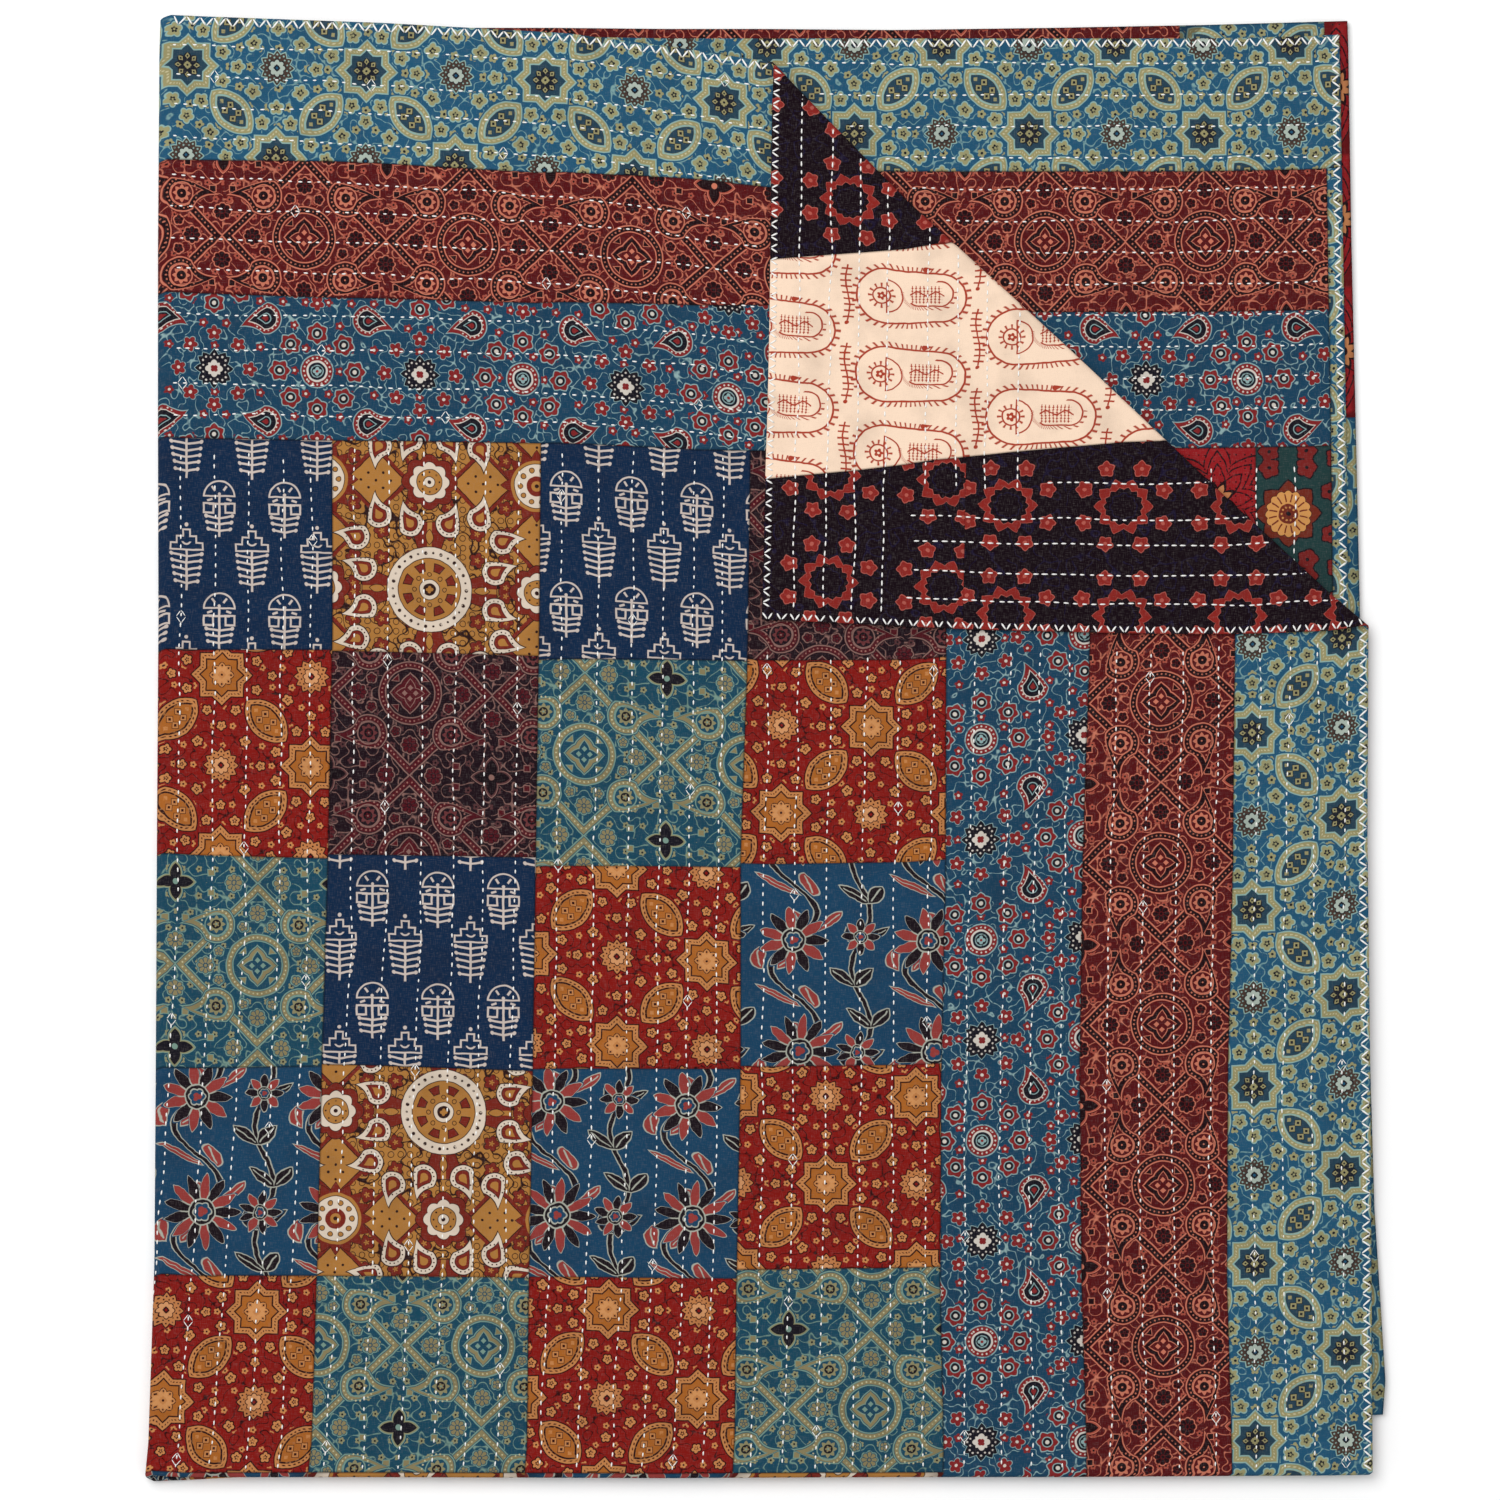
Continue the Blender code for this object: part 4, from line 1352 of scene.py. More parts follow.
# share scales the flowers between the stars
StarInks = namedtuple("StarInks", "line edge band dots dark heart rose pale bloom core share")
PaisleyInks = namedtuple("PaisleyInks", "edge red dark pale")
LineInks = namedtuple("LineInks", "line")
OchreInks = namedtuple("OchreInks", "white rust dark")
VineInks = namedtuple("VineInks", "pale rust dark")
RingInks = namedtuple("RingInks", "pink red shade")
StarLineInks = namedtuple("StarLineInks", "line pale")
SunInks = namedtuple("SunInks", "gold red rust dark")

MAROON_INKS = MedallionInks(
    line=(218, 128, 102), band=(34, 10, 16), dots=(205, 120, 96), flower=(214, 126, 100),
    heart=(92, 18, 22), star=(34, 10, 16), bloom=(176, 84, 68),
)
PLUM_INKS = MedallionInks(
    line=(146, 108, 100), band=(84, 18, 28), dots=(170, 116, 106), flower=(112, 54, 56),
    heart=(84, 22, 30), star=(24, 10, 18), bloom=(88, 52, 54),
)
TEAL_INKS = MedallionInks(
    line=(128, 160, 146), band=(146, 134, 96), dots=(206, 200, 160), flower=(150, 144, 106),
    heart=(26, 72, 94), star=(24, 22, 32), bloom=(150, 148, 112),
)
STAR_BLUE_INKS = StarInks(
    line=(132, 172, 172), edge=(152, 188, 180), band=(166, 158, 112), dots=(214, 206, 166),
    dark=(26, 28, 38), heart=(28, 32, 42), rose=(76, 58, 50), pale=(186, 200, 188),
    bloom=(166, 162, 118), core=(40, 70, 88), share=1.0,
)
RED_INKS = StarInks(
    line=(50, 8, 10), edge=(46, 8, 10), band=(208, 138, 80), dots=(60, 14, 14),
    dark=(54, 12, 12), heart=(224, 156, 96), rose=(204, 132, 78), pale=(226, 160, 108),
    bloom=(214, 142, 84), core=(182, 106, 40), share=0.74,
)
PAISLEY_INKS = PaisleyInks(edge=(152, 184, 184), red=(138, 36, 38), dark=(22, 20, 32), pale=(226, 218, 206))
OCHRE_INKS = OchreInks(white=(236, 218, 198), rust=(128, 40, 28), dark=(48, 22, 20))
VINE_INKS = VineInks(pale=(184, 186, 172), rust=(158, 62, 58), dark=(28, 18, 26))
RING_INKS = RingInks(pink=(190, 96, 84), red=(150, 40, 34), shade=(28, 20, 50))
SUN_INKS = SunInks(gold=(226, 160, 90), red=(128, 36, 34), rust=(120, 45, 30), dark=(28, 20, 28))

# Each cloth's ground colour, the function that draws its print, and its inks
PRINTS = {
    "maroon": ((92, 18, 22), medallion, MAROON_INKS),
    "plum": ((32, 14, 24), medallion, PLUM_INKS),
    "teal": ((26, 76, 98), medallion, TEAL_INKS),
    "star_blue": ((36, 91, 123), star_and_almond, STAR_BLUE_INKS),
    "red": ((142, 24, 18), star_and_almond, RED_INKS),
    "blue_paisley": ((26, 70, 98), blue_paisley, PAISLEY_INKS),
    "trees": ((14, 43, 76), trees, LineInks((220, 205, 195))),
    "ochre": ((186, 128, 62), ochre_fields, OCHRE_INKS),
    "vine": ((26, 70, 102), vine, VINE_INKS),
    "black_red": ((22, 6, 17), black_red, RING_INKS),
    "cream": ((272, 241, 213), cream_paisley, LineInks((186, 66, 44))),
    "red_flower": ((160, 30, 35), line_star, StarLineInks((40, 12, 20), (214, 140, 90))),
    "sunflower": ((35, 65, 65), sunflower, SUN_INKS),
}


# The yarns both ways, by how many noise cells fit in a metre across and along them
ACROSS_YARN = 1300.0
ALONG_YARN = 160.0
DYE_PER_METRE = 26.0
BUMP_STRENGTH = 0.35
BUMP_DEPTH = 0.6 * MM

# What is laid over a print in the end: its colour, and how a value from 0 up becomes its share
Tone = namedtuple("Tone", "colour slope start")
YARN_TONE = Tone((190, 180, 176), 0.26, -0.26)
DYE_TONE = Tone((30, 22, 26), 0.7, -0.32)
# Painted shade: the cloth is darkened close to each seam, where it dips
SEAM_PAINTED_SHADE = Tone((16, 10, 14), -320.0, 0.55)


def matt_material(name, roughness, shine):
    """A new material and its shader."""
    material = bpy.data.materials.new(name)
    material.use_nodes = True
    shader = material.node_tree.nodes["Principled BSDF"]
    shader.inputs["Roughness"].default_value = roughness
    shader.inputs["Specular IOR Level"].default_value = shine
    return material, shader


def printed_cloth(name):
    """The finish of one cloth: its print, ink and weave, with painted shade along its seams."""
    found = bpy.data.materials.get(name)
    if found:
        return found
    material, shader = matt_material(name, roughness=0.92, shine=0.08)
    ground, draw_print, inks = PRINTS[name]
    draw = Drawing(material, ground)
    draw_print(draw, inks)
    weave_and_seam_shade(draw, shader)
    draw.links.new(draw.colour, shader.inputs["Base Color"])
    return material


def tone_over(draw, value, tone):
    draw.paint(draw.maths("MULTIPLY_ADD", value, tone.slope, tone.start, clamp=True), tone.colour)


def weave_and_seam_shade(draw, shader):
    """Uneven yarns both ways, faded and darker patches of dye, and painted shade along each seam."""
    uv = draw.nodes.new("ShaderNodeUVMap")
    uv.uv_map = "cloth"
    yarns = None
    for scale in ((ACROSS_YARN, ALONG_YARN, 1.0), (ALONG_YARN, ACROSS_YARN, 1.0)):
        stretch = draw.nodes.new("ShaderNodeMapping")
        stretch.inputs["Scale"].default_value = scale
        draw.links.new(uv.outputs["UV"], stretch.inputs["Vector"])
        yarn = Field(draw, draw.noise(stretch.outputs["Vector"], 1.0, 1.0).outputs["Fac"])
        yarns = yarn if yarns is None else yarns + yarn
    tone_over(draw, yarns, YARN_TONE)
    tone_over(draw, Field(draw, draw.noise(uv.outputs["UV"], DYE_PER_METRE, 4.0).outputs["Fac"]), DYE_TONE)
    # Painted shade along each seam, growing darker as the distance to the seam shrinks
    seam = draw.nodes.new("ShaderNodeAttribute")
    seam.attribute_name = "seam_depth"
    tone_over(draw, Field(draw, seam.outputs["Fac"]), SEAM_PAINTED_SHADE)
    bump = draw.nodes.new("ShaderNodeBump")
    bump.inputs["Strength"].default_value = BUMP_STRENGTH
    bump.inputs["Distance"].default_value = BUMP_DEPTH
    draw.links.new(yarns.socket, bump.inputs["Height"])
    draw.links.new(bump.outputs["Normal"], shader.inputs["Normal"])


# The visible pieces


FIRST_LEFT = -41.0
SIDE_BASE = -30.0

# The columns of squares, from the bottom up: each square's cloth, where the middle of its print lies
# on the flat quilt, and the heights of its lower seam at the left and right
Square = namedtuple("Square", "cloth print_x print_y left right")
COLUMNS = (
    ("first_column", FIRST_LEFT, (UP_SEAMS, "first"), (
        Square("red", 90.0, 152.5, 1.5, 1.5),
        Square("vine", 32.0, 354.0, 185.9, 186.5),
        Square("teal", 88.4, 477.8, 379.1, 383.9),
        Square("red", 137.7, 665.6, 581.7, 579.5),
        Square("trees", 50.0, 933.0, 772.0, 776.0),
    )),
    ("second_column", (UP_SEAMS, "first"), (UP_SEAMS, "second"), (
        Square("teal", 303.5, 121.4, 1.5, 1.5),
        Square("ochre", 264.0, 342.0, 186.5, 186.4),
        Square("trees", 196.6, 569.0, 385.8, 382.3),
        Square("plum", 231.0, 737.0, 583.3, 585.0),
        Square("ochre", 248.7, 835.4, 775.0, 776.2),
    )),
    ("third_column", (UP_SEAMS, "second"), (UP_SEAMS, "third"), (
        Square("red", 420.0, 157.7, 1.5, 1.5),
        Square("vine", 493.0, 354.0, 187.3, 189.1),
        Square("red", 512.0, 494.0, 384.2, 391.6),
        Square("teal", 396.0, 685.0, 576.4, 586.5),
        Square("trees", 378.0, 953.0, 772.4, 786.1),
    )),
    ("fourth_column", (UP_SEAMS, "third"), (UP_SEAMS, "fourth"), (
        Square("teal", 667.0, 63.0, 1.5, 1.5),
        Square("red", 624.0, 282.0, 197.8, 201.1),
        Square("vine", 594.0, 518.0, 394.5, 398.9),
        Square("red", 667.0, 726.0, 590.4, 596.6),
        Square("plum", 0.0, 0.0, 788.0, 793.5),
    )),
)

# As far as this the borders show, and beyond it the turned corner hides them
SHOWN_TO_X = 600.0
SHOWN_TO_Y = 830.0


def spans(places):
    """Each place paired with the next one."""
    return list(zip(places, places[1:]))


def column_patches(left, right, squares):
    """A column of squares on the top layer, from the bottom up."""
    sewn = ("0" if left == FIRST_LEFT else "1") + "111"
    ends = [*([square.left, square.right] for square in squares), (CROSS_SEAMS, "inner")]
    return [
        Patch(left, right, low, high, square.cloth, (square.print_x, square.print_y), False, True, sewn)
        for square, (low, high) in zip(squares, spans(ends))
    ]


def cut_front(name, patches, pitch=SHOWN_PITCH):
    return cut_cloth(name, patches, pitch, THICK - SHEET, THICK, raise_front, True)


def cut_reverse(name, patches, pitch=SHOWN_PITCH):
    return cut_cloth(name, patches, pitch, 0.0, SHEET, raise_reverse, False)


def side_border(left, right, end, cloth, origin):
    """A border up the right side, shown as far as the turned corner and hidden beyond."""
    sewn = "11" if right != WIDE / MM else "10"
    return [
        Patch(left, right, SIDE_BASE, SHOWN_TO_Y, cloth, origin, True, True, sewn + "00"),
        Patch(left, right, SHOWN_TO_Y, end, cloth, origin, True, False, sewn + "01"),
    ]


def top_border(low, high, end, cloth, origin):
    """A border along the top, shown as far as the turned corner and hidden beyond."""
    sewn = "11" if high != LONG / MM else "10"
    return [
        Patch(FIRST_LEFT, SHOWN_TO_X, low, high, cloth, origin, False, True, "00" + sewn),
        Patch(SHOWN_TO_X, end, low, high, cloth, origin, False, False, "01" + sewn),
    ]


# The cloths of the hidden squares, in the order in which they are used again and again
HIDDEN_CLOTHS = ("vine", "ochre", "red", "trees", "teal", "plum")
LEFT_COLUMNS = (-747.0, -571.0, -395.0, -218.0, -41.0)
RIGHT_COLUMNS = (-41.0, 145.1, 346.9, 540.4, 736.7)
UPPER_ROWS = (1.5, 188.0, 385.0, 581.0, 780.0, 978.0)
LOWER_ROWS = (-985.0, -788.0, -591.0, -393.0, -195.0, 1.5)
SQUARES_IN_HALF = 20

# The cloths that peep out below the bottom fold, the second layer's row beside it
FIRST_LOWER_ROW = ("vine", "ochre", "vine", "ochre")

# The hidden borders' seams, and the reverse's bands that the corner bares, all in millimetres
LEFT_BORDERS = (-1149.36, -1015.0, -881.0, -747.0)
RIGHT_BORDERS = (736.7, 870.3, 1005.8, 1136.64)
LOWER_BORDERS = (-1374.91, -1245.0, -1115.0, -985.0)
UPPER_BORDERS = (978.0, 1118.0, 1242.0, 1368.09)
BORDER_CLOTHS = ("blue_paisley", "maroon", "star_blue")
SEEN_AT_LEFT = (-1127.0, -988.0)
BAND_LEVELS = (-1374.91, -1248.0, -1114.0, -984.0)
BANDS_FROM = 540.0
BANDS_TO = 1122.0
BARED_SQUARES_TOP = -780.0


def plain_patch(left, right, bottom, top, cloth, turned=False):
    """A hidden patch, sewn all round, with the middle of its print in its own middle."""
    middle = ((left + right) / 2, (bottom + top) / 2)
    return Patch(left, right, bottom, top, cloth, middle, turned, False, "1111")


def hidden_squares():
    """The squares of the left half, and those of the right half past the bottom fold."""
    patches = []
    quarters = ((UPPER_ROWS, LEFT_COLUMNS), (LOWER_ROWS, LEFT_COLUMNS), (LOWER_ROWS, RIGHT_COLUMNS))
    for rows, columns in quarters:
        for i, (left, right) in enumerate(spans(columns)):
            for j, (low, high) in enumerate(spans(rows)):
                turn = i * 2 + j * 3 + len(patches) // SQUARES_IN_HALF
                cloth = HIDDEN_CLOTHS[turn % len(HIDDEN_CLOTHS)]
                if high == LOWER_ROWS[-1] and columns is RIGHT_COLUMNS:
                    cloth = FIRST_LOWER_ROW[i]
                patches.append(plain_patch(left, right, low, high, cloth))
    return patches


def hidden_side_borders():
    """The borders up the left side, and those up the right side past the bottom fold."""
    low, high = LOWER_BORDERS[-1], UPPER_BORDERS[0]
    patches = []
    for (left, right), cloth in zip(spans(LEFT_BORDERS), reversed(BORDER_CLOTHS)):
        patches.append(plain_patch(left, right, low, high, cloth, True))
    for (left, right), cloth in zip(spans(RIGHT_BORDERS), BORDER_CLOTHS):
        patches.append(plain_patch(left, right, low, SIDE_BASE, cloth, True))
    return patches


def hidden_end_borders():
    """The left half's borders along the top, and all those along the bottom."""
    first, second = SEEN_AT_LEFT
    patches = []
    for (low, high), cloth in zip(spans(UPPER_BORDERS), BORDER_CLOTHS):
        patches.append(plain_patch(LEFT_BORDERS[0], FIRST_LEFT, low, high, cloth))
    for (low, high), cloth in zip(spans(LOWER_BORDERS), reversed(BORDER_CLOTHS)):
        cloth = "maroon" if cloth == "star_blue" else cloth
        patches.append(plain_patch(second, RIGHT_BORDERS[-1], low, high, cloth))
        patches.append(plain_patch(first, second, low, high, "star_blue"))
        patches.append(plain_patch(LEFT_BORDERS[0], first, low, high, "red_flower"))
    return patches


def bared_band(low, high, cloth, origin, end):
    """A band of the second layer's reverse, shown beyond the turned corner's line."""
    outer = "0" if low == BAND_LEVELS[0] else "1"
    return [
        Patch(BANDS_FROM, end, low, high, cloth, origin, False, True, "01" + outer + "1"),
        Patch(LEFT_BORDERS[0], BANDS_FROM, low, high, cloth, origin, False, False, "00" + outer + "1"),
    ]


def hidden_reverse():
    """What the other reverse pieces leave: strips in two prints, and the lowest layer's edge."""
    left, right, top = LEFT_BORDERS[0], WIDE / MM, LONG / MM
    base, low = SIDE_BASE, BAND_LEVELS[3]
    red_from = 1225.0
    strips = (
        (left, -1100.0, base, red_from, "black_red"),
        (left, -1100.0, red_from, top, "red"),
        (-1100.0, -700.0, base, top, "cream"),
        (-700.0, -150.0, base, top, "black_red"),
        (-150.0, BANDS_FROM, base, top, "black_red"),
        (left, -700.0, low, base, "black_red"),
        (-700.0, -150.0, low, base, "cream"),
        (-150.0, 600.0, low, base, "black_red"),
        (600.0, 970.0, low, base, "cream"),
        (970.0, right, BARED_SQUARES_TOP, base, "black_red"),
    )
    patches = [plain_patch(*strip, True) for strip in strips]
    first = (REVERSE_SEAMS, "first")
    beside_strip = Patch(BANDS_FROM, first, base, 400.0, "black_red", (650, 185), True, False, "1111")
    patches.insert(5, beside_strip)
    return patches


def bared_squares():
    """The squares of the reverse that show beside the inner band, and the end of the outer border."""
    low, high = BAND_LEVELS[3], BARED_SQUARES_TOP
    right = WIDE / MM
    return [
        Patch(970.0, 1049.0, low, high, "red_flower", (1012, -935), False, True, "1111"),
        Patch(1049.0, BANDS_TO, low, high, "sunflower", (1080, -920), False, True, "1111"),
        Patch(BANDS_TO, right, BAND_LEVELS[1], high, "star_blue", (1070, -900), True, True, "1000"),
    ]


class QUILT_OT_squares(bpy.types.Operator):
    """Cut and fold the four columns of squares on the top layer"""

    bl_idname = "quilt.squares"
    bl_label = "Columns of squares"

    def execute(self, context):
        for name, left, right, squares in COLUMNS:
            cut_front(name, column_patches(left, right, squares))
        return {"FINISHED"}


class QUILT_OT_borders(bpy.types.Operator):
    """Cut and fold the three borders along the top and the three up the right side"""

    bl_idname = "quilt.borders"
    bl_label = "Borders"

    def execute(self, context):
        inner, middle, outer = ((CROSS_SEAMS, name) for name in ("inner", "middle", "outer"))
        fourth, fifth, sixth = ((UP_SEAMS, name) for name in ("fourth", "fifth", "sixth"))
        right, top = WIDE / MM, LONG / MM
        across = (
            ("inner_top_border", inner, middle, fifth, "blue_paisley", (142.5, 1038)),
            ("middle_top_border", middle, outer, sixth, "maroon", (130, 1163)),
            ("outer_top_border", outer, top, right, "star_blue", (187, 1322)),
        )
        up = (
            ("inner_side_border", fourth, fifth, inner, "blue_paisley", (771, 712)),
            ("middle_side_border", fifth, sixth, middle, "maroon", (941, 742)),
            ("outer_side_border", sixth, right, outer, "star_blue", (1027, 709)),
        )
        for name, *border in across:
            cut_front(name, top_border(*border))
        for name, *border in up:
            cut_front(name, side_border(*border))
        return {"FINISHED"}


class QUILT_OT_hidden_front(bpy.types.Operator):
    """Cut and fold the front of the lower layers and of the left half"""

    bl_idname = "quilt.hidden_front"
    bl_label = "Lower layers' front"

    def execute(self, context):
        cut_front("under_squares", hidden_squares(), HIDDEN_PITCH)
        cut_front("under_side_borders", hidden_side_borders(), HIDDEN_PITCH)
        cut_front("under_end_borders", hidden_end_borders(), HIDDEN_PITCH)
        return {"FINISHED"}


class QUILT_OT_reverse(bpy.types.Operator):
    """Cut and fold the reverse: the turned corner, what it bares, and the rest"""

    bl_idname = "quilt.reverse"
    bl_label = "Reverse"

    def execute(self, context):
        first, second = ((REVERSE_SEAMS, name) for name in ("first", "second"))
        right, top = WIDE / MM, LONG / MM
        inner = Patch(BANDS_FROM, first, 400.0, top, "black_red", (707, 1294), True, True, "0100")
        middle = Patch(first, second, SIDE_BASE, top, "cream", (802, 1234), True, True, "1100")
        outer = [
            Patch(second, right, low, high, "black_red", origin, True, True, "1000")
            for low, high, origin in ((SIDE_BASE, 1181.0, (1120, 1249)), (1181.0, top, (1096, 1199)))
        ]
        cut_reverse("inner_reverse_strip", [inner])
        cut_reverse("middle_reverse_strip", [middle])
        cut_reverse("outer_reverse_strip", outer)
        bands = (
            ("outer_bared_band", "star_blue", (834, -1284), right),
            ("middle_bared_band", "maroon", (848.6, -1181), BANDS_TO),
            ("inner_bared_band", "blue_paisley", (1042, -1049), BANDS_TO),
        )
        for (low, high), (name, cloth, origin, end) in zip(spans(BAND_LEVELS), bands):
            cut_reverse(name, bared_band(low, high, cloth, origin, end))
        cut_reverse("bared_squares", bared_squares())
        cut_reverse("under_reverse", hidden_reverse(), HIDDEN_PITCH)
        return {"FINISHED"}


# The sewing

# A running stitch as seen, and the pitch at which stitches follow each other
Stitch = namedtuple("Stitch", "length width height pitch")
FRONT_STITCH = Stitch(4.5 * MM, 1.65 * MM, 1.0 * MM, 9.2 * MM)
REVERSE_STITCH = Stitch(5.6 * MM, 1.7 * MM, 1.0 * MM, 8.6 * MM)
STITCH_LIFT = 0.12 * MM
UNEVEN_STITCH = 0.05
ROW_STEP = 8 * MM
ROWS_UP_FROM = 5 * MM
ROWS_ACROSS_FROM = 3 * MM
FEWEST_STEPS = 4
WANDER = 0.5 * MM
WANDER_WAVES = (70, 210)
THREAD_SHADE = 0.82
TWISTS_PER_METRE = 900.0

# How far from the turned corner, from its fold and from the edges the stitches show
CLEAR_OF_CORNER = 2 * MM
CLEAR_OF_TURN = 4 * MM
TURNED_OVER = 0.8 * TURN_BEND
CLEAR_OF_EDGE = 5 * MM

# The small knots: open diamonds of thread
KNOT_WIDTH = 0.9 * MM
KNOT_HEIGHT = 0.8 * MM
KNOT_LIFT = 0.4 * MM
KNOTS_APART = 128 * MM
KNOT_TIPS = ((0, 6.2 * MM), (4.5 * MM, 0), (0, -6.2 * MM), (-4.5 * MM, 0))

# The zigzag along the edges, and the open marks that it leaves on its other side
EDGE_THREAD = 1.9 * MM
EDGE_HEIGHT = 1.1 * MM
EDGE_LIFT = 0.25 * MM
EDGE_PERIOD = 12.3 * MM
EDGE_FROM = 0.4 * MM
EDGE_DEPTH = 8.6 * MM
MARK_FROM = 0.5 * MM
MARK_DEPTH = 7.2 * MM
MARK_GAP = 0.3 * MM
MARK_REACH = 4.5 * MM
UNEVEN_ALONG = 0.35 * MM
UNEVEN_DEPTH = 0.4 * MM
UNEVEN_MARK = 0.4 * MM
UNEVEN_REACH = 0.5 * MM
ZIGZAG_PAST_TURN = 2 * MM
BARED_PAST_TURN = 8 * MM
MARKS_PAST_TURN = 14 * MM

# The seed of each kind of row, so that every run sews alike
FRONT_SEED, CORNER_SEED, EDGE_SEED, BARED_SEED, KNOT_SEED = 11, 12, 13, 14, 17

# The rows on the turned corner, which are wider apart than those that it hides: along its top edge
# by height and how far they run, and up its side edge by distance from the side fold
CornerRow = namedtuple("CornerRow", "place end")
CORNER_ROWS_ACROSS = (
    *(CornerRow(place, 1130) for place in (1340, 1311, 1284, 1257)),
    *(CornerRow(place, 998) for place in (1219, 1191, 1163, 1133)),
)
CORNER_ROWS_UP = (*(CornerRow(place, 1236) for place in (1108, 1080, 1050, 1025)), CornerRow(989, 1112))

# The same on the layer that the corner bares, by their heights in the stack
BARED_ROWS_ACROSS = tuple(CornerRow(1344 - 30 * i, 1122) for i in range(12))
BARED_ROWS_UP = tuple(CornerRow(place, 970) for place in (1006, 1050, 1086))


def on_face(u, v, is_front, lift=0.0):
    """Places above the side of the cloth that shows, with its quilting's lift."""
    sizes = bpy.context.scene.quilt_sizes
    placed = folded(u, v, THICK if is_front else 0.0)
    placed[:, 2] += (raise_front if is_front else raise_reverse)(u, v, sizes)
    placed[:, 2] += lift
    return placed


# How blunt a stitch's ends are, and the share of the baked map that all the stitches use
BLUNTNESS = 0.7
BEAD_SPOT = 0.9


def bead_shape():
    """One stitch of unit size, as its corners and its triangles."""
    bm = bmesh.new()
    bmesh.ops.create_icosphere(bm, subdivisions=1, radius=0.5)
    corners = np.array([v.co[:] for v in bm.verts])
    triangles = np.array([[v.index for v in f.verts] for f in bm.faces])
    bm.free()
    along = corners[:, 0]
    corners[:, 0] = 0.5 * np.sign(along) * np.abs(2 * along) ** BLUNTNESS
    return corners, triangles


def thread_piece(name, legs, width, height):
    """Joins many short lengths of thread, given by their starts and their ends, into one mesh."""
    corners, triangles = bead_shape()
    starts, ends = legs
    middles = (starts + ends) / 2
    along = ends - starts
    lengths = np.linalg.norm(along, axis=1, keepdims=True)
    heading = along / lengths
    aside = np.cross(np.array([0.0, 0.0, 1.0]), heading)
    aside /= np.linalg.norm(aside, axis=1, keepdims=True)
    up = np.cross(heading, aside)
    placed = middles[:, None, :] + corners[None, :, 0, None] * along[:, None, :]
    placed = placed + corners[None, :, 1, None] * aside[:, None, :] * width
    placed = placed + corners[None, :, 2, None] * up[:, None, :] * height
    count = len(middles)
    faces = triangles[None] + np.arange(count)[:, None, None] * len(corners)

    mesh = bpy.data.meshes.new(name)
    mesh.vertices.add(count * len(corners))
    mesh.vertices.foreach_set("co", placed.astype(np.float32).ravel())
    mesh.loops.add(faces.size)
    mesh.loops.foreach_set("vertex_index", faces.astype(np.int32).ravel())
    mesh.polygons.add(faces.size // 3)
    mesh.polygons.foreach_set("loop_start", np.arange(0, faces.size, 3, dtype=np.int32))
    bake = mesh.uv_layers.new(name="OFBake")
    spot = np.tile((corners[triangles.ravel()][:, :2] + 0.5) * BEAD_SPOT + (1 - BEAD_SPOT) / 2, (count, 1))
    bake.data.foreach_set("uv", spot.astype(np.float32).ravel())
    mesh.update(calc_edges=True)
    mesh.polygons.foreach_set("use_smooth", np.ones(faces.size // 3, dtype=bool))
    mesh.materials.append(cotton_thread())
    piece = bpy.data.objects.new(name, mesh)
    bpy.context.collection.objects.link(piece)
    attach(piece, "root")
    return piece


def two_toned(name, tones, per_metre, roughness, shine):
    """A plain material that varies slowly between two tones."""
    material, shader = matt_material(name, roughness, shine)
    nodes, links = material.node_tree.nodes, material.node_tree.links
    place = nodes.new("ShaderNodeTexCoord")
    noise = nodes.new("ShaderNodeTexNoise")
    noise.inputs["Scale"].default_value = per_metre
    links.new(place.outputs["Object"], noise.inputs["Vector"])
    tint = nodes.new("ShaderNodeMix")
    tint.data_type = "RGBA"
    links.new(noise.outputs["Fac"], tint.inputs[MIX_MASK])
    for number, tone in zip((MIX_UNDER, MIX_OVER), tones):
        tint.inputs[number].default_value = (*tone, 1)
    links.new(tint.outputs[MIX_RESULT], shader.inputs["Base Color"])
    return material


def scaled(colour, share):
    return tuple(value * share for value in colour)


def cotton_thread():
    """Thread with the faint grain of its twist."""
    colour = bpy.context.scene.quilt_colours.thread
    found = bpy.data.materials.get("thread")
    tones = (scaled(colour, THREAD_SHADE), colour)
    return found or two_toned("thread", tones, TWISTS_PER_METRE, roughness=0.8, shine=0.15)


def stitches_along(u, v, stitch, rng):
    """The flat ends of the running stitches along a line of flat places."""
    run = np.concatenate(([0.0], np.cumsum(np.hypot(np.diff(u), np.diff(v)))))
    count = int(run[-1] / stitch.pitch)
    places = (np.arange(count) + rng.random() + rng.normal(0, UNEVEN_STITCH, count)) * stitch.pitch
    half = stitch.length * (0.5 + rng.normal(0, UNEVEN_STITCH, count))
    columns = [np.interp(at, run, line) for at in (places - half, places + half) for line in (u, v)]
    return np.stack(columns, axis=-1)


def wandering(along, rng):
    """The unevenness of a hand-sewn row."""
    waves = rng.uniform(*WANDER_WAVES, 3) * MM
    starts = rng.uniform(0, 2 * PI, 3)
    return sum(WANDER * np.sin(2 * PI * along / wave + start) for wave, start in zip(waves, starts))


def sew(name, stitches, stitch, is_front, shown):
    """Puts flat stitches on the cloth's face, where they show."""
    middle_u = (stitches[:, 0] + stitches[:, 2]) / 2
    middle_v = (stitches[:, 1] + stitches[:, 3]) / 2
    stitches = stitches[shown(middle_u, middle_v)]
    ends = ((0, 1), (2, 3))
    legs = [on_face(stitches[:, u], stitches[:, v], is_front, STITCH_LIFT) for u, v in ends]
    thread_piece(name, legs, stitch.width, stitch.height)
    return stitches


def shown_on_front(u, v):
    return (depth_under_corner(u, v) < -CLEAR_OF_CORNER) & (past_turn(u, v) < -CLEAR_OF_TURN)


def shown_on_corner(u, v):
    within = (u < WIDE - CLEAR_OF_EDGE) & (v < LONG - CLEAR_OF_EDGE)
    return (past_turn(u, v) > TURNED_OVER) & within


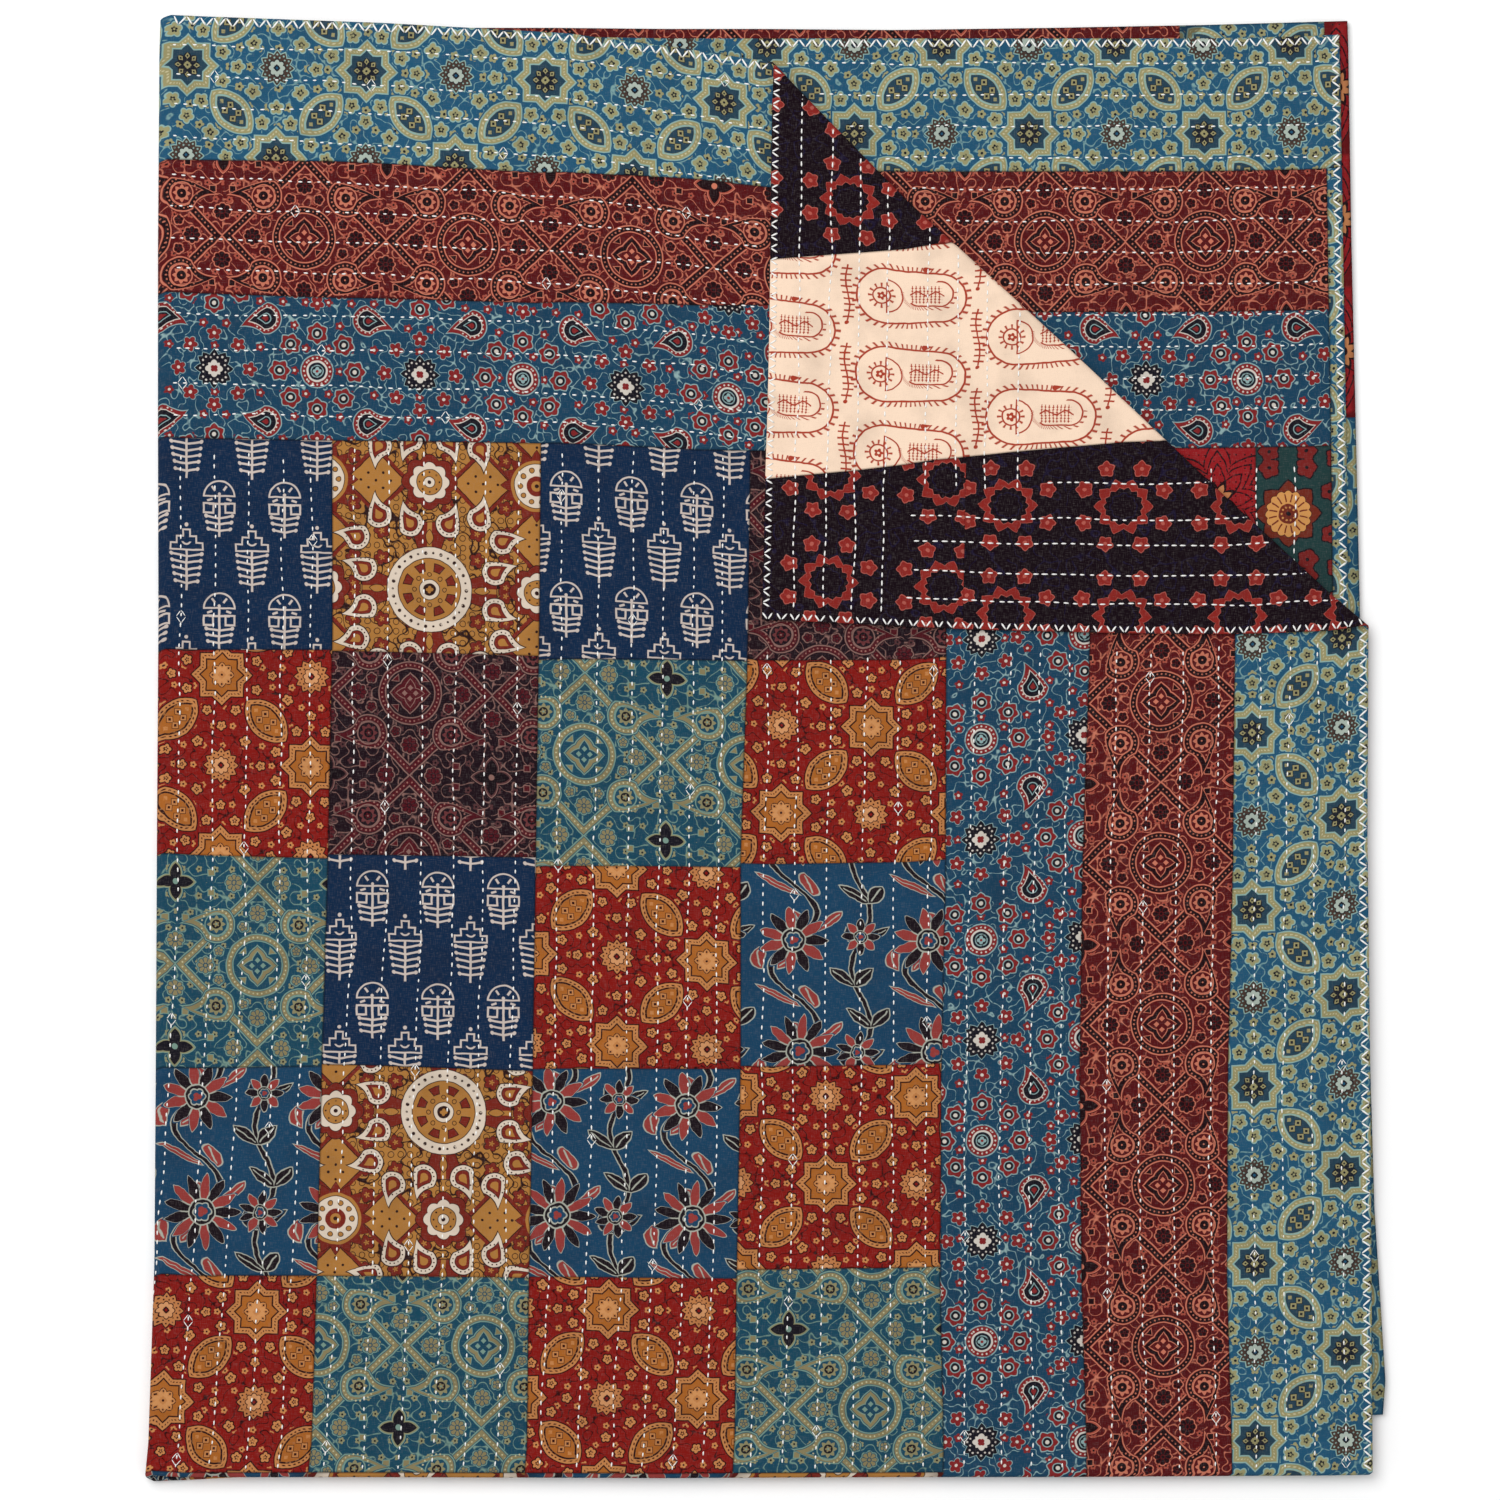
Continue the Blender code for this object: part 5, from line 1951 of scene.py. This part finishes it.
def shown_on_second(u, v):
    return past_turn(u, on_second_layer(v)) > BARED_FROM


def front_rows():
    """The flat stitches of the front's rows, up the quilt and across its top borders."""
    rng = np.random.default_rng(FRONT_SEED)
    places = row_places_up()
    made = []
    for place, top in zip(places, border_starts(np.array(places))):
        v = np.arange(ROWS_UP_FROM, top, ROW_STEP)
        u = place + wandering(v, rng) + lean_at(np.full_like(v, place), v)
        made.append(stitches_along(u, v, FRONT_STITCH, rng))
    for row in ROWS_ACROSS:
        u = np.arange(ROWS_ACROSS_FROM, WIDE, ROW_STEP)
        v = (row.near + tilt_at(u) * (row.far - row.near)) * MM + wandering(u, rng)
        beyond = v > border_starts(u)
        if beyond.sum() > FEWEST_STEPS:
            made.append(stitches_along(u[beyond], v[beyond], FRONT_STITCH, rng))
    return np.concatenate(made)


def rows_past_turn(across, up, stitch_across, seed):
    """The flat stitches of rows that start at the turned corner's line, across and up the quilt."""
    rng = np.random.default_rng(seed)
    made = []
    for row in across:
        u = np.arange(TURN_AT_TOP, row.end * MM, ROW_STEP)
        made.append(stitches_along(u, row.place * MM + wandering(u, rng), stitch_across, rng))
    for row in up:
        v = np.arange(TURN_AT_SIDE, row.end * MM, ROW_STEP)
        made.append(stitches_along(row.place * MM + wandering(v, rng), v, REVERSE_STITCH, rng))
    return np.concatenate(made)


def bared_rows():
    """The flat stitches of the bared layer's rows, across its borders and up its squares."""
    stitches = rows_past_turn(BARED_ROWS_ACROSS, BARED_ROWS_UP, FRONT_STITCH, BARED_SEED)
    stitches[:, 1::2] = on_second_layer(stitches[:, 1::2])
    return stitches


def zigzag(low, high, rng):
    """The turning points of a zigzag thread, by how far along the edge and how deep each lies."""
    count = int((high - low) / (EDGE_PERIOD / 2))
    along = np.linspace(low, high, count) + rng.normal(0, UNEVEN_ALONG, count)
    deep = np.where(np.arange(count) % 2 == 0, EDGE_FROM, EDGE_DEPTH)
    return along, deep + np.abs(rng.normal(0, UNEVEN_DEPTH, count))


def open_marks(low, high, rng):
    """The starts and the ends of the marks' legs, which spread as they run in from the edge."""
    middles = np.arange(low, high, EDGE_PERIOD)
    middles = middles + rng.normal(0, UNEVEN_MARK, len(middles))
    starts = np.concatenate((middles - MARK_GAP, middles + MARK_GAP))
    ends = np.concatenate((middles - MARK_REACH, middles + MARK_REACH))
    ends = ends + rng.normal(0, UNEVEN_REACH, len(ends))
    return (starts, np.full_like(starts, MARK_FROM)), (ends, np.full_like(ends, MARK_DEPTH))


def edge_places(along, deep, is_top, is_second):
    """Flat places at these depths within the top or the side edge of the first or second layer."""
    u, v = (along, LONG - deep) if is_top else (WIDE - deep, along)
    return u, on_second_layer(v) if is_second else v


def edge_legs(low, high, is_top, is_second, rng):
    """The legs of the zigzag along part of an edge."""
    along, deep = zigzag(low, high, rng)
    placed = on_face(*edge_places(along, deep, is_top, is_second), not is_second, EDGE_LIFT)
    return placed[:-1], placed[1:]


def corner_legs(low, is_top, rng):
    """The legs of the open marks along an edge of the turned corner."""
    high = (WIDE if is_top else LONG) - CLEAR_OF_EDGE
    legs = open_marks(low, high, rng)
    return [on_face(*edge_places(along, deep, is_top, False), False, EDGE_LIFT) for along, deep in legs]


def joined(pairs):
    """Many pairs of starts and ends as one pair."""
    return [np.concatenate(part) for part in zip(*pairs)]


class QUILT_OT_stitches(bpy.types.Operator):
    """Sew the rows of running stitches, on the front, the turned corner and the bared layer"""

    bl_idname = "quilt.stitches"
    bl_label = "Running stitches"

    def execute(self, context):
        corner = rows_past_turn(CORNER_ROWS_ACROSS, CORNER_ROWS_UP, REVERSE_STITCH, CORNER_SEED)
        front = sew("front_stitches", front_rows(), FRONT_STITCH, True, shown_on_front)
        add_knots(front)
        sew("corner_stitches", corner, REVERSE_STITCH, False, shown_on_corner)
        sew("bared_stitches", bared_rows(), FRONT_STITCH, False, shown_on_second)
        return {"FINISHED"}


def add_knots(stitches):
    """Small open diamonds of thread here and there on the rows."""
    rng = np.random.default_rng(KNOT_SEED)
    chosen = []
    for i in rng.permutation(len(stitches)):
        place = stitches[i, :2]
        if all(np.hypot(*(place - other)) > KNOTS_APART for other in chosen):
            chosen.append(place)
    middles = np.array(chosen)
    placed = [on_face(*(middles + tip).T, True, KNOT_LIFT) for tip in KNOT_TIPS]
    legs = joined(zip(placed, placed[1:] + placed[:1]))
    thread_piece("small_knots", legs, KNOT_WIDTH, KNOT_HEIGHT)


class QUILT_OT_edging(bpy.types.Operator):
    """Sew the zigzag thread along the free edges"""

    bl_idname = "quilt.edging"
    bl_label = "Edge thread"

    def execute(self, context):
        rng = np.random.default_rng(EDGE_SEED)
        front = [
            edge_legs(ZIGZAG_PAST_TURN, TURN_AT_TOP + ZIGZAG_PAST_TURN, True, False, rng),
            edge_legs(ZIGZAG_PAST_TURN, TURN_AT_SIDE + ZIGZAG_PAST_TURN, False, False, rng),
        ]
        bared = [
            edge_legs(TURN_AT_TOP + BARED_PAST_TURN, WIDE, True, True, rng),
            edge_legs(TURN_AT_SIDE + BARED_PAST_TURN, LONG, False, True, rng),
        ]
        corner = [
            corner_legs(TURN_AT_TOP + MARKS_PAST_TURN, True, rng),
            corner_legs(TURN_AT_SIDE + MARKS_PAST_TURN, False, rng),
        ]
        thread_piece("front_edge_thread", joined(front), EDGE_THREAD, EDGE_HEIGHT)
        thread_piece("bared_edge_thread", joined(bared), EDGE_THREAD, EDGE_HEIGHT)
        thread_piece("corner_edge_thread", joined(corner), EDGE_THREAD, EDGE_HEIGHT)
        return {"FINISHED"}


# The stage, the camera and the panel

PHOTO_PIXELS = 1500
PIXEL = 0.949 * MM
VIEW_CENTRE_X = -15.5 * PIXEL
VIEW_CENTRE_Y = -1.0 * PIXEL
CAMERA_HEIGHT = 5.0
SENSOR_WIDTH = 36.0
WINDOW_WIDTH = 4.2
WINDOW_POWER = 190.0
WINDOW_PLACE = (-1.7, 2.0, 4.6)
SURROUNDINGS = 0.75
PAPER_SHADE = 0.99
PAPER_PER_METRE = 3.0


def length_setting(name, description, default, **limits):
    return bpy.props.FloatProperty(
        name=name, description=description, default=default, subtype="DISTANCE", unit="LENGTH", **limits
    )


def colour_setting(name, description, default):
    return bpy.props.FloatVectorProperty(
        name=name, description=description, default=default, min=0.0, max=1.0, subtype="COLOR"
    )


class QuiltSizes(bpy.types.PropertyGroup):
    """Sizes that a user would change"""

    row_lift: length_setting(
        "Row lift", "How far the cloth rises between two quilting rows", 0.9 * MM, min=0.0, max=1.2 * MM
    )
    seam_depth: length_setting(
        "Seam depth", "How far the cloth dips at a seam between two patches", 0.55 * MM, min=0.0, max=0.8 * MM
    )
    floor_width: length_setting("Floor width", "How wide the pale floor is", 9.0, min=3.0)


class QuiltColours(bpy.types.PropertyGroup):
    """Colours that a user would change"""

    thread: colour_setting("Thread", "Colour of the quilting and edging thread", (0.86, 0.85, 0.82))
    floor: colour_setting("Floor", "Colour of the floor", (0.9, 0.9, 0.9))


class QUILT_OT_stage(bpy.types.Operator):
    """Set up the pale floor, the soft light and the camera"""

    bl_idname = "quilt.stage"
    bl_label = "Stage"

    def execute(self, context):
        width = context.scene.quilt_sizes.floor_width
        bm = bmesh.new()
        bmesh.ops.create_grid(bm, x_segments=1, y_segments=1, size=width / 2)
        mesh = bpy.data.meshes.new("floor")
        bm.to_mesh(mesh)
        bm.free()
        floor = bpy.data.objects.new("floor", mesh)
        context.collection.objects.link(floor)
        mesh.materials.append(floor_finish(context.scene.quilt_colours.floor))

        light_data = bpy.data.lights.new("window", "AREA")
        light_data.shape = "DISK"
        light_data.size = WINDOW_WIDTH
        light_data.energy = WINDOW_POWER
        window = bpy.data.objects.new("window", light_data)
        window.location = WINDOW_PLACE
        window.rotation_euler = (-window.location).to_track_quat("-Z", "Y").to_euler()
        context.collection.objects.link(window)

        world = bpy.data.worlds.new("studio")
        world.use_nodes = True
        background = world.node_tree.nodes["Background"]
        background.inputs["Color"].default_value = (1.0, 1.0, 1.0, 1.0)
        background.inputs["Strength"].default_value = SURROUNDINGS
        context.scene.world = world
        context.scene.view_settings.view_transform = "Standard"

        camera_data = bpy.data.cameras.new("camera")
        camera_data.sensor_width = SENSOR_WIDTH
        camera_data.lens = SENSOR_WIDTH * CAMERA_HEIGHT / (PHOTO_PIXELS * PIXEL)
        camera = bpy.data.objects.new("camera", camera_data)
        camera.location = (VIEW_CENTRE_X, VIEW_CENTRE_Y, CAMERA_HEIGHT)
        context.collection.objects.link(camera)
        context.scene.camera = camera
        return {"FINISHED"}


def floor_finish(colour):
    """Matt paper with a faint unevenness of tone."""
    tones = (colour, scaled(colour, PAPER_SHADE))
    return two_toned("pale_paper", tones, PAPER_PER_METRE, roughness=0.9, shine=0.5)


OPERATORS = (
    QUILT_OT_squares,
    QUILT_OT_borders,
    QUILT_OT_hidden_front,
    QUILT_OT_reverse,
    QUILT_OT_stitches,
    QUILT_OT_edging,
    QUILT_OT_stage,
)


class QUILT_PT_panel(bpy.types.Panel):
    """The quilt's pieces in the sidebar"""

    bl_idname = "QUILT_PT_panel"
    bl_label = "Patchwork quilt"
    bl_space_type = "VIEW_3D"
    bl_region_type = "UI"
    bl_category = "Quilt"

    def draw(self, context):
        for group in (context.scene.quilt_sizes, context.scene.quilt_colours):
            for name in group.bl_rna.properties.keys():
                if name not in ("rna_type", "name"):
                    self.layout.prop(group, name)
        for operator in OPERATORS:
            self.layout.operator(operator.bl_idname)


CLASSES = (QuiltSizes, QuiltColours, *OPERATORS, QUILT_PT_panel)


def register():
    for cls in CLASSES:
        bpy.utils.register_class(cls)
    bpy.types.Scene.quilt_sizes = bpy.props.PointerProperty(type=QuiltSizes)
    bpy.types.Scene.quilt_colours = bpy.props.PointerProperty(type=QuiltColours)


def unregister():
    del bpy.types.Scene.quilt_colours
    del bpy.types.Scene.quilt_sizes
    for cls in reversed(CLASSES):
        bpy.utils.unregister_class(cls)


def main():
    register()
    for operator in OPERATORS:
        group, name = operator.bl_idname.split(".")
        getattr(getattr(bpy.ops, group), name)()


if __name__ == "__main__":
    main()
